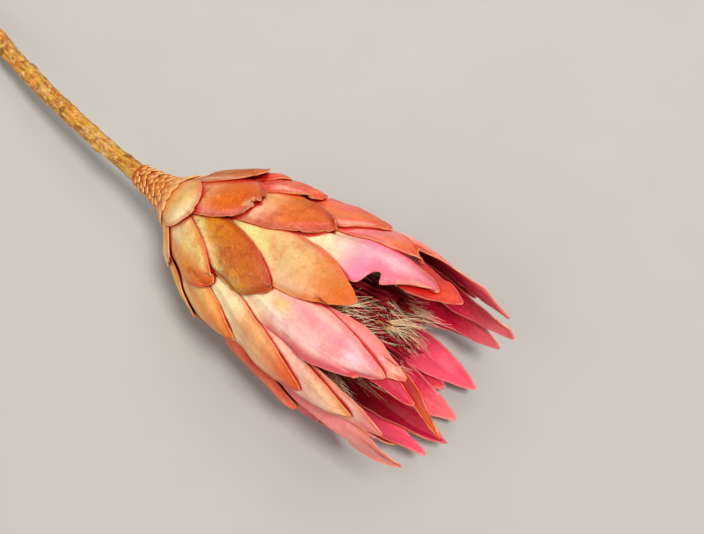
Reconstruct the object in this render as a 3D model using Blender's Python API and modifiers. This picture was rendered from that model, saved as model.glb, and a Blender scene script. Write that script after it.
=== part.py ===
"""A dried sugarbush protea: one head of overlapping bracts on its cut stem, lying on its side."""

import math
import random

import bmesh
import bpy
import numpy as np
from mathutils import Matrix, Vector

# Driving sizes, in millimetres and degrees. The head has its own frame: "up" runs along its axis from
# the neck to the mouth, "radius" out from that axis, and "azimuth" round it, from the side that shows.
mm = 0.001
gap = 0.3
blade = 0.6

neck_place = (12.7, 0.1, 19.3)
head_pitch = 4.0
head_roll = 16.0
head_profile = [
    (-12, 2.6), (-9, 2.7), (-3.3, 3.6), (1.2, 5.3), (5.8, 9.5), (10.3, 13.5), (15, 16.5), (23.8, 19.8),
    (34.5, 21.8), (45, 23.2), (55.2, 24.3), (67, 24.0), (78.8, 22.2), (94, 19.2),
]

# The receptacle is divided into slices, one under each ring of bracts: where each starts and ends up
# the head, and its radius at both ends.
slices = {
    "basal_scales": (-9.0, -0.4, 1.9, 2.6),
    "outer_bracts": (-0.1, 8.2, 1.9, 4.3),
    "middle_bracts": (8.5, 9.9, 3.6, 4.4),
    "inner_bracts": (10.2, 12.6, 3.4, 4.4),
}
root_depth = 0.9
root_margin = 0.6
root_slope = 2.2

# How far one layer of bracts lies under the next, within a ring and from one ring to the next, and how
# far past its edge a bract still presses down what lies under it.
layer_step = 0.95
ring_step = 1.5
edge_margin = 1.0
cover_fade = 8.0

# A bract's outline and curl: how wide it is at its base beside its widest, how blunt its tip is, where
# its free end begins, and how far its margins bend back.
base_share = 0.42
bluntness = 0.6
free_from = 0.55
margin_bend = 0.25

# Near the neck all bracts lie under the scales and each other, a layer to a row. Further up they lie
# under what covers them. Here the one passes into the other.
packed_top = 11.0
packed_fade = 10.0
first_row = 2.0

# The bracts on the side that shows. Row, azimuth at the base and at the tip, how far up the tip is,
# widest half-width, and how far the tip stands off. A lower row lies outside a higher one.
shown_bracts = [
    (2.0, -2, -4, 15.2, 7.4, 0.2),
    (2.6, -64, -61, 22.8, 6.8, 1.0),
    (2.7, 84, 84, 26.6, 7.4, 0.7),
    (3.0, -27, -31, 28.6, 8.4, 0.4),
    (3.0, 25, 32, 29.4, 7.2, 0.2),
    (3.2, -88, -74, 27.0, 6.8, 0.5),
    (4.0, -66, -70, 37.4, 8.6, 0.4),
    (4.0, 5, 10, 43.2, 7.0, 0.2),
    (4.0, 56, 59, 39.2, 7.6, 0.3),
    (4.6, -37, -43, 46.4, 8.6, 0.3),
    (6.0, -63, -68, 55.2, 9.6, 0.4),
    (6.0, -9, -10, 61.6, 7.9, 0.2),
    (6.0, 43, 51, 59.8, 7.8, 0.3),
    (6.2, 84, 84, 58.2, 7.2, 0.9),
    (6.6, -80, -60, 66.2, 7.8, 0.3),
    (7.0, -34, -47, 73.6, 9.0, 0.4),
    (7.0, 20, 15, 75.4, 7.6, 0.3),
    (7.0, 44, 50, 72.6, 8.0, 0.3),
    (8.0, 12, 11, 79.2, 6.4, 0.0),
    (8.0, 43, 49, 80.6, 6.8, 0.2),
    (8.0, -56, -57, 79.0, 6.8, 0.0),
    (8.4, 22, 20, 83.5, 5.6, 0.0),
    (9.0, 70, 73, 86.6, 7.2, 0.8),
    (9.0, 122, 126, 87.2, 6.8, 0.6),
    (9.2, 143, 143, 89.4, 6.6, 0.6),
    (9.2, 20, 28, 91.4, 5.8, 0.0),
]

# The bracts on the side that is turned away. Row, how far up the tips are, widest half-width, azimuths.
hidden_bracts = [
    (2.0, 14.0, 7.0, (58, 118, 180, 246)),
    (3.0, 27.6, 7.4, (134, 180, 226)),
    (4.0, 39.5, 7.8, (112, 158, 204, 246)),
    (4.6, 46.0, 7.8, (134, 182)),
    (6.0, 58.5, 8.2, (126, 172, 216, 256)),
    (7.0, 72.5, 7.8, (102, 148, 194, 238)),
    (8.0, 80.5, 7.0, (126, 172, 216, 260)),
    (9.0, 88.6, 6.8, (168, 194, 220, 246, 272)),
]
hidden_seed = 7

# A bract's grid: how many strips across it, and where its cross rows lie from the root to the tip, in
# the short bracts of the outer ring and in the long ones.
blade_columns = 4
short_rows = (0, 0.1, 0.3, 0.62, 0.88, 1)
long_rows = (0, 0.05, 0.15, 0.33, 0.58, 0.84, 1)
middle_row = 5.5
inner_row = 7.5

# The rings of scales on the neck: how many, where their tips reach, and their half-width. They grow
# into a collar over the bases of the outer bracts.
scale_rings = [
    (7, -6.0, 1.3), (7, -3.8, 1.35), (8, -1.6, 1.5), (9, 0.8, 1.7), (9, 3.6, 2.2), (10, 6.6, 3.3),
]
collar_rings = 2
scale_length = 3.8
scale_sink = 1.5
scale_taper = 0.45
scale_flatness = 0.6
collar_widths = (0.6, 1.0, 0.35)
scale_turn_spread = 4
scale_reach_spread = 0.4
scale_seed = 10
collar_top = 7.0
collar_depth = 2.6
collar_fade = 4.0

floret_count = 110
floret_seed = 3
floret_base = 30
floret_tip = 72
floret_spread = 14.5
floret_base_share = 0.42
floret_shoulder = 12
floret_unevenness = 2.5
floret_turn_spread = 6
floret_radius = 0.95
floret_taper = 0.6
floret_core = [(0, 12.9), (4.0, 12.9), (6.2, 24), (8.4, 34), (8.6, 46), (6.4, 56), (3.0, 60), (0, 61)]

stem_radius = 2.3
stem_length = 106
stem_lean = 0.08
stem_bend = 0.0015
stem_bend_end = 62
stem_points = 24
scar_count = 12
scar_radius = 1.5
scar_shape = (0.8, 1, 0.45)
scar_sink = 0.1
scar_turn = 137.5
scar_turn_spread = 15
low_stem = 6
scar_seed = 5

# Base colour and roughness.
looks = {
    "stem": ((0.55, 0.33, 0.12), 0.75),
    "basal_scales": ((0.42, 0.21, 0.09), 0.7),
    "outer_bracts": ((0.58, 0.24, 0.10), 0.5),
    "middle_bracts": ((0.78, 0.40, 0.30), 0.45),
    "inner_bracts": ((0.72, 0.26, 0.28), 0.45),
    "florets": ((0.16, 0.03, 0.03), 0.8),
}


# Numbers


def ramp(x):
    """0 below 0, 1 above 1, smooth between."""
    x = np.clip(x, 0, 1)
    return x * x * (3 - 2 * x)


def smooth_line(points, at):
    """The height, at each place in at, of a smooth line through the points."""
    xs = np.array([p[0] for p in points], float)
    ys = np.array([p[1] for p in points], float)
    slopes = np.gradient(ys, xs)
    at = np.clip(np.asarray(at, float), xs[0], xs[-1])
    i = np.clip(np.searchsorted(xs, at) - 1, 0, len(xs) - 2)
    width = xs[i + 1] - xs[i]
    t = (at - xs[i]) / width
    start = (2 * t**3 - 3 * t**2 + 1) * ys[i] + (t**3 - 2 * t**2 + t) * width * slopes[i]
    end = (3 * t**2 - 2 * t**3) * ys[i + 1] + (t**3 - t**2) * width * slopes[i + 1]
    return start + end


def turned(angle):
    """Degrees brought between -180 and 180."""
    return (np.asarray(angle, float) + 180) % 360 - 180


# The head's form


def round_radius(up):
    return smooth_line(head_profile, up)


def steepness(up):
    """How much longer a step is along the radius than straight through the layers."""
    slope = round_radius(np.asarray(up, float) + 0.5) - round_radius(np.asarray(up, float) - 0.5)
    return np.sqrt(1 + slope**2)


def surface_radius(up, azimuth):
    """How far out the surface that the head lies on is, or very far on the upper side."""
    pitch = math.radians(head_pitch)
    height = neck_place[2] + np.asarray(up, float) * math.sin(pitch)
    down = -np.cos(np.radians(np.asarray(azimuth, float) + head_roll)) * math.cos(pitch)
    return np.where(down > 0.05, height / np.maximum(down, 0.05), 1000.0)


rings = ("outer_bracts", "middle_bracts", "inner_bracts")


class Bract:
    """A place on the head and an outline."""

    def __init__(self, row, azimuth, tip_azimuth, tip, half_width, lift):
        self.row = row
        self.azimuth = azimuth
        self.turn = float(turned(tip_azimuth - azimuth))
        self.tip = tip
        self.half_width = half_width
        self.lift = lift
        self.base = 1.2 * row - 2
        self.ring = rings[(row > middle_row) + (row > inner_row)]

    def along(self, up):
        return (np.asarray(up, float) - self.base) / (self.tip - self.base)

    def outline(self, v):
        """Half-width, where v is 0 at the base and 1 at the tip."""
        rise = base_share + (1 - base_share) * np.sin(np.clip(v, 0, 0.5) * math.pi)
        fall = np.maximum(1 - (np.clip(v, 0.5, 1) * 2 - 1) ** 2, 0) ** bluntness
        return self.half_width * np.where(np.asarray(v) < 0.5, rise, fall)

    def middle(self, up):
        """The azimuth of the mid-rib."""
        return self.azimuth + self.turn * np.clip(self.along(up), 0, 1)

    def rise_and_cover(self, up, azimuth, around):
        """How far it would stand off the head's outline if nothing lay over it, and how much it
        covers: 1 where it lies over a place, fading to 0 past its edge."""
        v = self.along(up)
        sideways = np.abs(np.radians(turned(azimuth - self.middle(up))) * around)
        free = np.clip((v - free_from) / (1 - free_from), 0, 1.15)
        across = np.minimum(sideways, self.half_width) / self.half_width
        rise = self.lift * free**2 - margin_bend * across**2
        beside = np.maximum(sideways - self.outline(v), 0)
        outside = np.hypot(beside, np.maximum(up - self.tip, 0))
        return rise, 1 - ramp((outside - edge_margin) / cover_fade)


def all_bracts():
    """Every bract of the head, outermost row first."""
    bracts = [Bract(*shown) for shown in shown_bracts]
    chance = random.Random(hidden_seed)
    for row, tip, half_width, azimuths in hidden_bracts:
        for azimuth in azimuths:
            at = azimuth + chance.uniform(-3, 3)
            lean = chance.uniform(-5, 5)
            reach = tip + chance.uniform(-1.6, 1.6)
            lift = chance.uniform(0.0, 0.5)
            bracts.append(Bract(row + 0.3 * chance.random(), at, at + lean, reach, half_width, lift))
    return sorted(bracts, key=lambda bract: bract.row)


def stand_off(bracts, last, up, azimuth):
    """How far bracts[last] stands off the head's outline, under all that lies over it."""
    around = round_radius(up)
    collar = 1 - ramp((up - collar_top) / collar_fade)
    heights = []
    covers = []
    for bract in bracts[: last + 1]:
        rise, cover = bract.rise_and_cover(up, azimuth, around)
        pressed = collar * (rise + collar_depth)
        for over, height, covered in zip(bracts, heights, covers):
            if over.row < bract.row:
                step = layer_step if over.ring == bract.ring else ring_step
                pressed = np.maximum(pressed, covered * (rise - height + step))
        heights.append(rise - pressed)
        covers.append(cover)
    row = bracts[last].row
    rings_over = rings.index(bracts[last].ring)
    packed = layer_step * (row - first_row) + (ring_step - layer_step) * rings_over
    spread = ramp((up - packed_top) / packed_fade)
    return heights[last] * spread - (packed + collar * collar_depth) * (1 - spread)


def bract_radius(bracts, index, up, azimuth):
    off = stand_off(bracts, index, up, azimuth)
    outside = np.minimum(round_radius(up) + np.maximum(off, 0), surface_radius(up, azimuth))
    return outside + np.minimum(off, 0) * steepness(up)


def head_point(up, radius, azimuth):
    """A place in the head's frame, in metres."""
    turn = math.radians(azimuth + head_roll)
    return Vector((radius * math.cos(turn), radius * math.sin(turn), up)) * mm


# Blender objects


def clear_scene():
    for obj in list(bpy.data.objects):
        bpy.data.objects.remove(obj)


def make_collection(name, parent):
    collection = bpy.data.collections.new(name)
    parent.children.link(collection)
    return collection


def make_object(name, mesh, collection):
    obj = bpy.data.objects.new(name, mesh)
    collection.objects.link(obj)
    return obj


def mesh_of(name, form):
    """A mesh from a bmesh, which is then freed."""
    mesh = bpy.data.meshes.new(name)
    form.to_mesh(mesh)
    form.free()
    return mesh


def material(name):
    colour, roughness = looks[name]
    made = bpy.data.materials.new(name)
    made.use_nodes = True
    shader = made.node_tree.nodes["Principled BSDF"]
    shader.inputs["Base Color"].default_value = (*colour, 1)
    shader.inputs["Roughness"].default_value = roughness
    shader.inputs["Metallic"].default_value = 0
    return made


def settled_mesh(obj):
    """A new mesh of the object with its modifiers applied."""
    graph = bpy.context.evaluated_depsgraph_get()
    return bpy.data.meshes.new_from_object(obj.evaluated_get(graph), depsgraph=graph)


def outer_body(mesh):
    """The mesh without the small hollows that fusing sealed inside it."""
    form = bmesh.new()
    form.from_mesh(mesh)
    left = set(form.faces)
    bodies = []
    while left:
        body = {left.pop()}
        edge = list(body)
        while edge:
            near = {other for side in edge.pop().edges for other in side.link_faces} & left
            left -= near
            body |= near
            edge.extend(near)
        bodies.append(body)
    kept = max(bodies, key=len)
    dropped = [face for body in bodies if body is not kept for face in body]
    bmesh.ops.delete(form, geom=dropped, context="FACES")
    return mesh_of(mesh.name, form)


def fused(core, repeats):
    """The core joined to every object of a collection, which is then removed."""
    union = core.modifiers.new("union", "BOOLEAN")
    union.operation = "UNION"
    union.solver = "MANIFOLD"
    union.operand_type = "COLLECTION"
    union.collection = repeats
    mesh = settled_mesh(core)
    core.modifiers.clear()
    core.data = outer_body(mesh)
    for obj in list(repeats.objects):
        bpy.data.objects.remove(obj)
    bpy.data.collections.remove(repeats)
    return core


def finish(obj, parent=None):
    obj.data.materials.clear()
    obj.data.materials.append(material(obj.name))
    obj.data.shade_smooth()
    obj.data.set_sharp_from_angle(angle=math.radians(50))
    obj.parent = parent


# Pieces


def turned_solid(name, profile, collection, sides=12):
    """A solid turned round the head's axis from points of radius and place up the head."""
    form = bmesh.new()
    points = [form.verts.new((radius * mm, 0, up * mm)) for radius, up in profile]
    for a, b in zip(points, points[1:]):
        form.edges.new((a, b))
    obj = make_object(name, mesh_of(name, form), collection)
    screw = obj.modifiers.new("turn", "SCREW")
    screw.steps = screw.render_steps = sides
    screw.use_merge_vertices = True
    screw.merge_threshold = 0.00001
    turned_form = bmesh.new()
    turned_form.from_mesh(settled_mesh(obj))
    bmesh.ops.recalc_face_normals(turned_form, faces=turned_form.faces)
    obj.modifiers.clear()
    obj.data = mesh_of(name, turned_form)
    return obj


def add_thickness(obj):
    """A wall inwards from an outer face."""
    thickness = obj.modifiers.new("thickness", "SOLIDIFY")
    thickness.thickness = blade * mm
    thickness.offset = -1


def slice_core(name, collection):
    low, high, low_radius, high_radius = slices[name]
    profile = [(0, low), (low_radius, low), (high_radius, high), (0, high)]
    return turned_solid(name, profile, collection)


def root_of(bracts, index):
    """Where the bract's root is sunk in its slice of the receptacle: how far up, and the radius."""
    bract = bracts[index]
    low, high, low_radius, high_radius = slices[bract.ring]
    ups = np.linspace(low + root_margin, high - root_margin, 40)
    sunk = np.interp(ups, (low, high), (low_radius, high_radius)) - root_depth
    inside = bract_radius(bracts, index, ups, bract.middle(ups)) < sunk
    at = np.flatnonzero(inside)[-1] if inside.any() else 0
    return float(ups[at]), float(sunk[at])


def bract_form(bracts, index, across):
    """The outer face of one bract: a grid laid over the head."""
    bract = bracts[index]
    root, root_radius = root_of(bracts, index)
    rows = short_rows if bract.ring == rings[0] else long_rows
    along = len(rows) - 1
    form = bmesh.new()
    bmesh.ops.create_grid(form, x_segments=across, y_segments=along, size=1)
    u = np.array([vert.co.x for vert in form.verts])
    row = np.array([round((vert.co.y + 1) / 2 * along) for vert in form.verts])
    up = root + (bract.tip - root) * np.array(rows)[row]
    half = np.maximum(bract.outline(bract.along(up)), 0.5)
    azimuth = bract.middle(up) + np.degrees(u * half / round_radius(up))
    radius = bract_radius(bracts, index, up, azimuth)
    radius = np.minimum(radius, root_radius + root_slope * (up - root))
    for vert, place in zip(form.verts, zip(up, radius, azimuth)):
        vert.co = head_point(*place)
    bmesh.ops.triangulate(form, faces=form.faces)
    return form


def bract_ring(name, bracts, collection):
    """One ring of bracts, fused to its slice of the receptacle."""
    repeats = make_collection(name + "_repeats", collection)
    for index, bract in enumerate(bracts):
        if bract.ring != name:
            continue
        form = bract_form(bracts, index, blade_columns)
        add_thickness(make_object(f"{name}_{index}", mesh_of(name, form), repeats))
    return fused(slice_core(name, collection), repeats)


def small_scale(azimuth, tip, half_width):
    """A short ridged scale on the neck, pointing up the head and a little outwards."""
    base_up = max(tip - scale_length, slices["basal_scales"][0] + 0.5)
    base = head_point(base_up, float(round_radius(base_up)) - scale_sink, azimuth)
    end = head_point(tip, float(round_radius(tip)) - 0.1, azimuth)
    along = (end - base).normalized()
    across = Vector((0, 0, 1)).cross(base).normalized()
    out = across.cross(along)
    form = bmesh.new()
    bmesh.ops.create_cone(
        form, cap_ends=True, segments=4, depth=(end - base).length,
        radius1=half_width * mm, radius2=scale_taper * half_width * mm,
    )
    bmesh.ops.scale(form, vec=(1, scale_flatness, 1), verts=form.verts)
    frame = Matrix((across, out, along)).transposed().to_4x4()
    bmesh.ops.transform(form, matrix=Matrix.Translation((base + end) / 2) @ frame, verts=form.verts)
    bmesh.ops.recalc_face_normals(form, faces=form.faces)
    return form


def collar_scale(azimuth, tip, half_width):
    """The outer face of a broad scale, from the neck out over the first bracts."""
    form = bmesh.new()
    bmesh.ops.create_grid(form, x_segments=2, y_segments=2, size=1)
    base_up = slices["basal_scales"][1] - 0.8
    for vert in form.verts:
        v = (vert.co.y + 1) / 2
        up = base_up + (tip - base_up) * v
        around = float(round_radius(up))
        half = half_width * collar_widths[round(v * 2)]
        turn = math.degrees(vert.co.x * half / around)
        vert.co = head_point(up, around - scale_sink * (1 - v) ** 1.5, azimuth + turn)
    bmesh.ops.triangulate(form, faces=form.faces)
    return form


def neck_scales(collection):
    """Rings of scales on the neck, the last of them a collar over the bases of the bracts."""
    repeats = make_collection("scale_repeats", collection)
    chance = random.Random(scale_seed)
    for ring, (count, tip, half_width) in enumerate(scale_rings):
        broad = ring >= len(scale_rings) - collar_rings
        for k in range(count):
            turn = chance.uniform(-scale_turn_spread, scale_turn_spread)
            azimuth = 360 * (k + 0.5 * (ring % 2)) / count + turn
            reach = tip + chance.uniform(-scale_reach_spread, scale_reach_spread)
            form = (collar_scale if broad else small_scale)(azimuth, reach, half_width)
            scale = make_object(f"scale_{ring}_{k}", mesh_of("scale", form), repeats)
            if broad:
                add_thickness(scale)
    return fused(slice_core("basal_scales", collection), repeats)


def floret_brush(collection):
    """The florets, spread evenly by the golden angle, standing out of a slimmer core."""
    repeats = make_collection("floret_repeats", collection)
    chance = random.Random(floret_seed)
    golden = 180 * (3 - math.sqrt(5))
    for k in range(floret_count):
        out = math.sqrt((k + 0.5) / floret_count)
        uneven = chance.uniform(-floret_unevenness, floret_unevenness)
        turn = chance.uniform(-floret_turn_spread, floret_turn_spread)
        reach = floret_tip - floret_shoulder * out**2 + uneven
        base = head_point(floret_base, floret_base_share * out * floret_spread, k * golden)
        tip = head_point(reach, out * floret_spread, k * golden + turn)
        form = bmesh.new()
        bmesh.ops.create_cone(
            form, cap_ends=True, segments=3, depth=(tip - base).length,
            radius1=floret_taper * floret_radius * mm, radius2=floret_radius * mm,
        )
        direction = (tip - base).to_track_quat("Z", "Y").to_matrix().to_4x4()
        bmesh.ops.transform(form, matrix=Matrix.Translation((base + tip) / 2) @ direction, verts=form.verts)
        make_object(f"floret_{k}", mesh_of("floret", form), repeats)
    return fused(turned_solid("florets", floret_core, collection), repeats)


def stem_path(count):
    """Points along the stem, from the neck to the cut end, in metres."""
    pitch = math.radians(head_pitch)
    neck_end = slices["basal_scales"][0] - gap
    start = Vector(neck_place) + Vector((math.cos(pitch), 0, math.sin(pitch))) * neck_end
    drop = start.z - stem_radius
    points = []
    step = stem_length / (count - 1)
    for k in range(count):
        s = k * step
        t = s / stem_length
        fall = drop * (3 * t**2 - 2 * t**3) + stem_length * (math.sin(pitch) * (t**3 - 2 * t**2 + t))
        sideways = stem_lean * s + stem_bend * min(s, stem_bend_end) * (2 * s - min(s, stem_bend_end))
        points.append((start + Vector((-s, sideways, -fall))) * mm)
    return points


def stem(collection):
    """The cut stem, with the raised scars that its leaves left."""
    points = stem_path(stem_points)
    curve = bpy.data.curves.new("stem", "CURVE")
    curve.dimensions = "3D"
    curve.bevel_depth = stem_radius * mm
    curve.bevel_resolution = 3
    curve.use_fill_caps = True
    line = curve.splines.new("POLY")
    line.points.add(len(points) - 1)
    for point, place in zip(line.points, points):
        point.co = (*place, 1)
    tube = make_object("stem_line", curve, collection)
    mesh = settled_mesh(tube)
    bpy.data.objects.remove(tube)
    form = bmesh.new()
    form.from_mesh(mesh)
    bmesh.ops.remove_doubles(form, verts=form.verts, dist=0.00001)
    obj = make_object("stem", mesh_of("stem", form), collection)

    repeats = make_collection("scar_repeats", collection)
    chance = random.Random(scar_seed)
    for k in range(scar_count):
        at = int((k + 0.7) * (len(points) - 1) / (scar_count + 0.7))
        along = (points[at] - points[at + 1]).normalized()
        azimuth = math.radians(k * scar_turn + chance.uniform(-scar_turn_spread, scar_turn_spread))
        side = along.orthogonal().normalized()
        out = side * math.cos(azimuth) + along.cross(side) * math.sin(azimuth)
        if points[at].z < low_stem * mm and out.z < 0.3:
            # A scar under the low end of the stem would lift it off the surface.
            out = Vector((out.x, out.y, abs(out.z) + 0.6)).normalized()
        scar = bmesh.new()
        bmesh.ops.create_icosphere(scar, subdivisions=1, radius=scar_radius * mm)
        bmesh.ops.scale(scar, vec=scar_shape, verts=scar.verts)
        across = out.cross(along).normalized()
        frame = Matrix((along, across, out)).transposed().to_4x4()
        place = points[at] + out * (stem_radius - scar_sink) * mm
        bmesh.ops.transform(scar, matrix=Matrix.Translation(place) @ frame, verts=scar.verts)
        make_object(f"scar_{k}", mesh_of("scar", scar), repeats)
    return fused(obj, repeats)


def main():
    clear_scene()
    protea = make_collection("sugarbush_protea", bpy.context.scene.collection)
    head = make_object("head", None, protea)
    pitch = math.radians(head_pitch)
    over = Vector((-math.sin(pitch), 0, math.cos(pitch)))
    side = Vector((0, -1, 0))
    axis = Vector((math.cos(pitch), 0, math.sin(pitch)))
    frame = Matrix((over, side, axis)).transposed().to_4x4()
    head.matrix_world = Matrix.Translation(Vector(neck_place) * mm) @ frame

    bracts = all_bracts()
    finish(stem(protea))
    finish(neck_scales(protea), head)
    for ring in rings:
        finish(bract_ring(ring, bracts, protea), head)
    finish(floret_brush(protea), head)


main()
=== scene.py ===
import math
import random

import bpy
import numpy as np
from mathutils import Matrix, Vector


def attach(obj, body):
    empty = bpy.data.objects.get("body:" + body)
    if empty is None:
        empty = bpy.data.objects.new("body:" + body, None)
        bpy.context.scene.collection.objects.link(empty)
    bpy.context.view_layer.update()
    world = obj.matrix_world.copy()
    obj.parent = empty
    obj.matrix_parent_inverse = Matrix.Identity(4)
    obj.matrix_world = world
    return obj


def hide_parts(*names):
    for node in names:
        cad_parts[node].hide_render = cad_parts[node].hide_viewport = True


# A dried sugarbush protea: each ring of bracts, the neck scales, the floret brush and the stem take
# the place of the plainer solid of the same name. Sizes are in millimetres and degrees unless said.

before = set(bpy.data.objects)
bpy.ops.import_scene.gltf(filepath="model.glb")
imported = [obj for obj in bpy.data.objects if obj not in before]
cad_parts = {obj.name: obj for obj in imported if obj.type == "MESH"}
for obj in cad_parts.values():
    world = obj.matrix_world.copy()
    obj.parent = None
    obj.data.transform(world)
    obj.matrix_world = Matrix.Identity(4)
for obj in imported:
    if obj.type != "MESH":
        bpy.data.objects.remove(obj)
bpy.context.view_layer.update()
bpy.ops.object.select_all(action="DESELECT")
mm = 0.001


# Curves and smooth fields that several pieces use

def ramp(x):
    # 0 up to 0 and 1 from 1 on, smooth between
    x = np.clip(x, 0, 1)
    return x * x * (3 - 2 * x)


def rampFrom(x, start, over):
    # 0 up to the start and 1 once that much is over
    return ramp((x - start) / over)


def hill(x, top, width, power=2):
    # 1 at the top, and down to 0 on both sides
    return np.exp(-(((x - top) / width) ** power))


def smoothLine(points, at):
    # a smooth curve through the points
    xs = np.array([p[0] for p in points], float)
    ys = np.array([p[1] for p in points], float)
    slopes = np.gradient(ys, xs)
    at = np.clip(np.asarray(at, float), xs[0], xs[-1])
    i = np.clip(np.searchsorted(xs, at) - 1, 0, len(xs) - 2)
    width = xs[i + 1] - xs[i]
    t = (at - xs[i]) / width
    start = (2 * t**3 - 3 * t**2 + 1) * ys[i] + (t**3 - 2 * t**2 + t) * width * slopes[i]
    end = (3 * t**2 - 2 * t**3) * ys[i + 1] + (t**3 - t**2) * width * slopes[i + 1]
    return start + end


def turned(angle):
    # the same direction, from -180 to 180
    return (np.asarray(angle, float) + 180) % 360 - 180


waves = {
    "count": 9,
    "sizes": (0.75, 1.6),
    "height": 3.4,
}


def wobble(places, height, size, seed):
    # a sum of waves all ways, about that high either way, whose swells are about that size
    chance = np.random.default_rng(seed)
    total = np.zeros(len(places))
    for _ in range(waves["count"]):
        direction = chance.normal(size=places.shape[1])
        direction *= 2 * math.pi / (size * chance.uniform(*waves["sizes"]) * np.linalg.norm(direction))
        total += np.sin(places @ direction + chance.uniform(0, 2 * math.pi))
    return height * (total / waves["height"])


# Colours by name, as 0 to 255 values of the screen

richness = 1.1
tones = {
    "cream": (252, 236, 190), "greenCream": (232, 230, 160), "butter": (246, 206, 118),
    "mustard": (218, 148, 52), "tan": (228, 168, 94), "peach": (244, 184, 132),
    "apricot": (234, 144, 80), "orange": (216, 106, 42), "rustOrange": (204, 82, 24),
    "rust": (164, 56, 20), "brick": (192, 48, 28), "redOrange": (226, 84, 54),
    "salmon": (242, 124, 94), "coral": (234, 96, 84), "blush": (252, 196, 176),
    "pink": (244, 148, 146), "lilac": (238, 134, 162), "rose": (218, 88, 104),
    "crimson": (196, 34, 68), "brightRed": (228, 52, 48), "wine": (124, 12, 28),
    "deepWine": (52, 3, 12), "umber": (112, 54, 24), "goldBrown": (196, 122, 56),
    "paleGold": (242, 198, 126), "straw": (212, 158, 62), "bark": (150, 88, 36),
    # the seam tone is dark red: partly a bract's own colour where it was covered, partly painted shade beside
    # the margin over it
    "hair": (255, 234, 196), "wood": (226, 192, 138), "shadedSeam": (190, 30, 16), "garnet": (226, 44, 78),
    # the pale lilac here is a painted highlight on the two glossy bracts
    "paintedLightPink": (255, 96, 120), "bronze": (184, 92, 32), "paintedHighlightLilac": (252, 216, 222),
}


def tone(name):
    # as linear light, and a little richer, for what the pale light washes out
    screen = np.array(tones[name]) / 255
    light = np.where(screen <= 0.04045, screen / 12.92, ((screen + 0.055) / 1.055) ** 2.4)
    grey = light @ (0.2126, 0.7152, 0.0722)
    return np.clip(grey + (light - grey) * richness, 0, 1)


def shade(name):
    return (*tone(name), 1.0)


# Meshes

def active():
    return bpy.context.view_layer.objects.active


def readPoints(obj):
    points = np.empty(len(obj.data.vertices) * 3)
    obj.data.vertices.foreach_get("co", points)
    return points.reshape(-1, 3)


def writePoints(obj, points):
    obj.data.vertices.foreach_set("co", np.asarray(points, np.float32).ravel())
    obj.data.update()


def note(obj, name, values):
    # keeps a value for each vertex, or one for all of them, which a material reads by its name
    values = np.asarray(values, float)
    if values.ndim == 0:
        values = np.full(len(obj.data.vertices), values)
    kinds = {1: ("FLOAT", "value"), 3: ("FLOAT_VECTOR", "vector"), 4: ("FLOAT_COLOR", "color")}
    kind, key = kinds[values.size // len(values)]
    kept = obj.data.attributes.get(name) or obj.data.attributes.new(name, kind, "POINT")
    kept.data.foreach_set(key, values.astype(np.float32).ravel())


def noteColour(obj, name, colour):
    rows = np.ones((len(obj.data.vertices), 4))
    rows[:, :3] = colour
    note(obj, name, rows)


def gridOf(across, along):
    bpy.ops.mesh.primitive_grid_add(x_subdivisions=across, y_subdivisions=along, size=2)
    return active()


def tubeOf(sides, steps):
    # an open tube of radius 1 along z from 0 to 1
    tube = gridOf(sides, steps)
    flat = readPoints(tube)
    turn = (flat[:, 0] + 1) * math.pi
    writePoints(tube, np.stack([np.cos(turn), np.sin(turn), (flat[:, 1] + 1) / 2], 1))
    mergeDoubles(0.0001)
    return tube


def edit(action, **settings):
    # does one thing to the whole of the active mesh
    bpy.ops.object.mode_set(mode="EDIT")
    bpy.ops.mesh.select_all(action="SELECT")
    action(**settings)
    bpy.ops.object.mode_set(mode="OBJECT")


def mergeDoubles(distance):
    # closes the seams and poles of a shape
    edit(bpy.ops.mesh.remove_doubles, threshold=distance)


def faceOutwards():
    edit(bpy.ops.mesh.normals_make_consistent, inside=False)


def thicken(obj, thickness):
    # inwards from its face
    wall = obj.modifiers.new("wall", "SOLIDIFY")
    wall.thickness = thickness * mm
    wall.offset = -1
    bpy.ops.object.modifier_apply(modifier="wall")


def select(objects):
    bpy.ops.object.select_all(action="DESELECT")
    for obj in objects:
        obj.select_set(True)
    bpy.context.view_layer.objects.active = objects[0]


def joined(name, objects):
    select(objects)
    bpy.ops.object.join()
    piece = active()
    piece.name = name
    piece.data.name = name
    bpy.ops.object.select_all(action="DESELECT")
    return piece


def copiesOf(name, template, places):
    # one mesh of many copies of the template, whose points are given copy by copy
    count = len(template.data.vertices)
    faces = [tuple(polygon.vertices) for polygon in template.data.polygons]
    bpy.data.objects.remove(template)
    mesh = bpy.data.meshes.new(name)
    allFaces = [tuple(v + k * count for v in face) for k in range(len(places)) for face in faces]
    mesh.from_pydata(places.reshape(-1, 3).tolist(), [], allFaces)
    piece = bpy.data.objects.new(name, mesh)
    bpy.context.scene.collection.objects.link(piece)
    bpy.context.view_layer.objects.active = piece
    return piece


def settle(piece, node, material, angle):
    # gives a finished piece its material and the place of its solid; edges sharper than the angle stay
    piece.data.materials.clear()
    piece.data.materials.append(material)
    select([piece])
    bpy.ops.object.shade_smooth_by_angle(angle=math.radians(angle))
    bpy.ops.object.select_all(action="DESELECT")
    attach(piece, "root")
    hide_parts(node)
    print(f"{node}: {len(piece.data.vertices)} vertices, {len(piece.data.polygons)} faces")


# Materials

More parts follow.
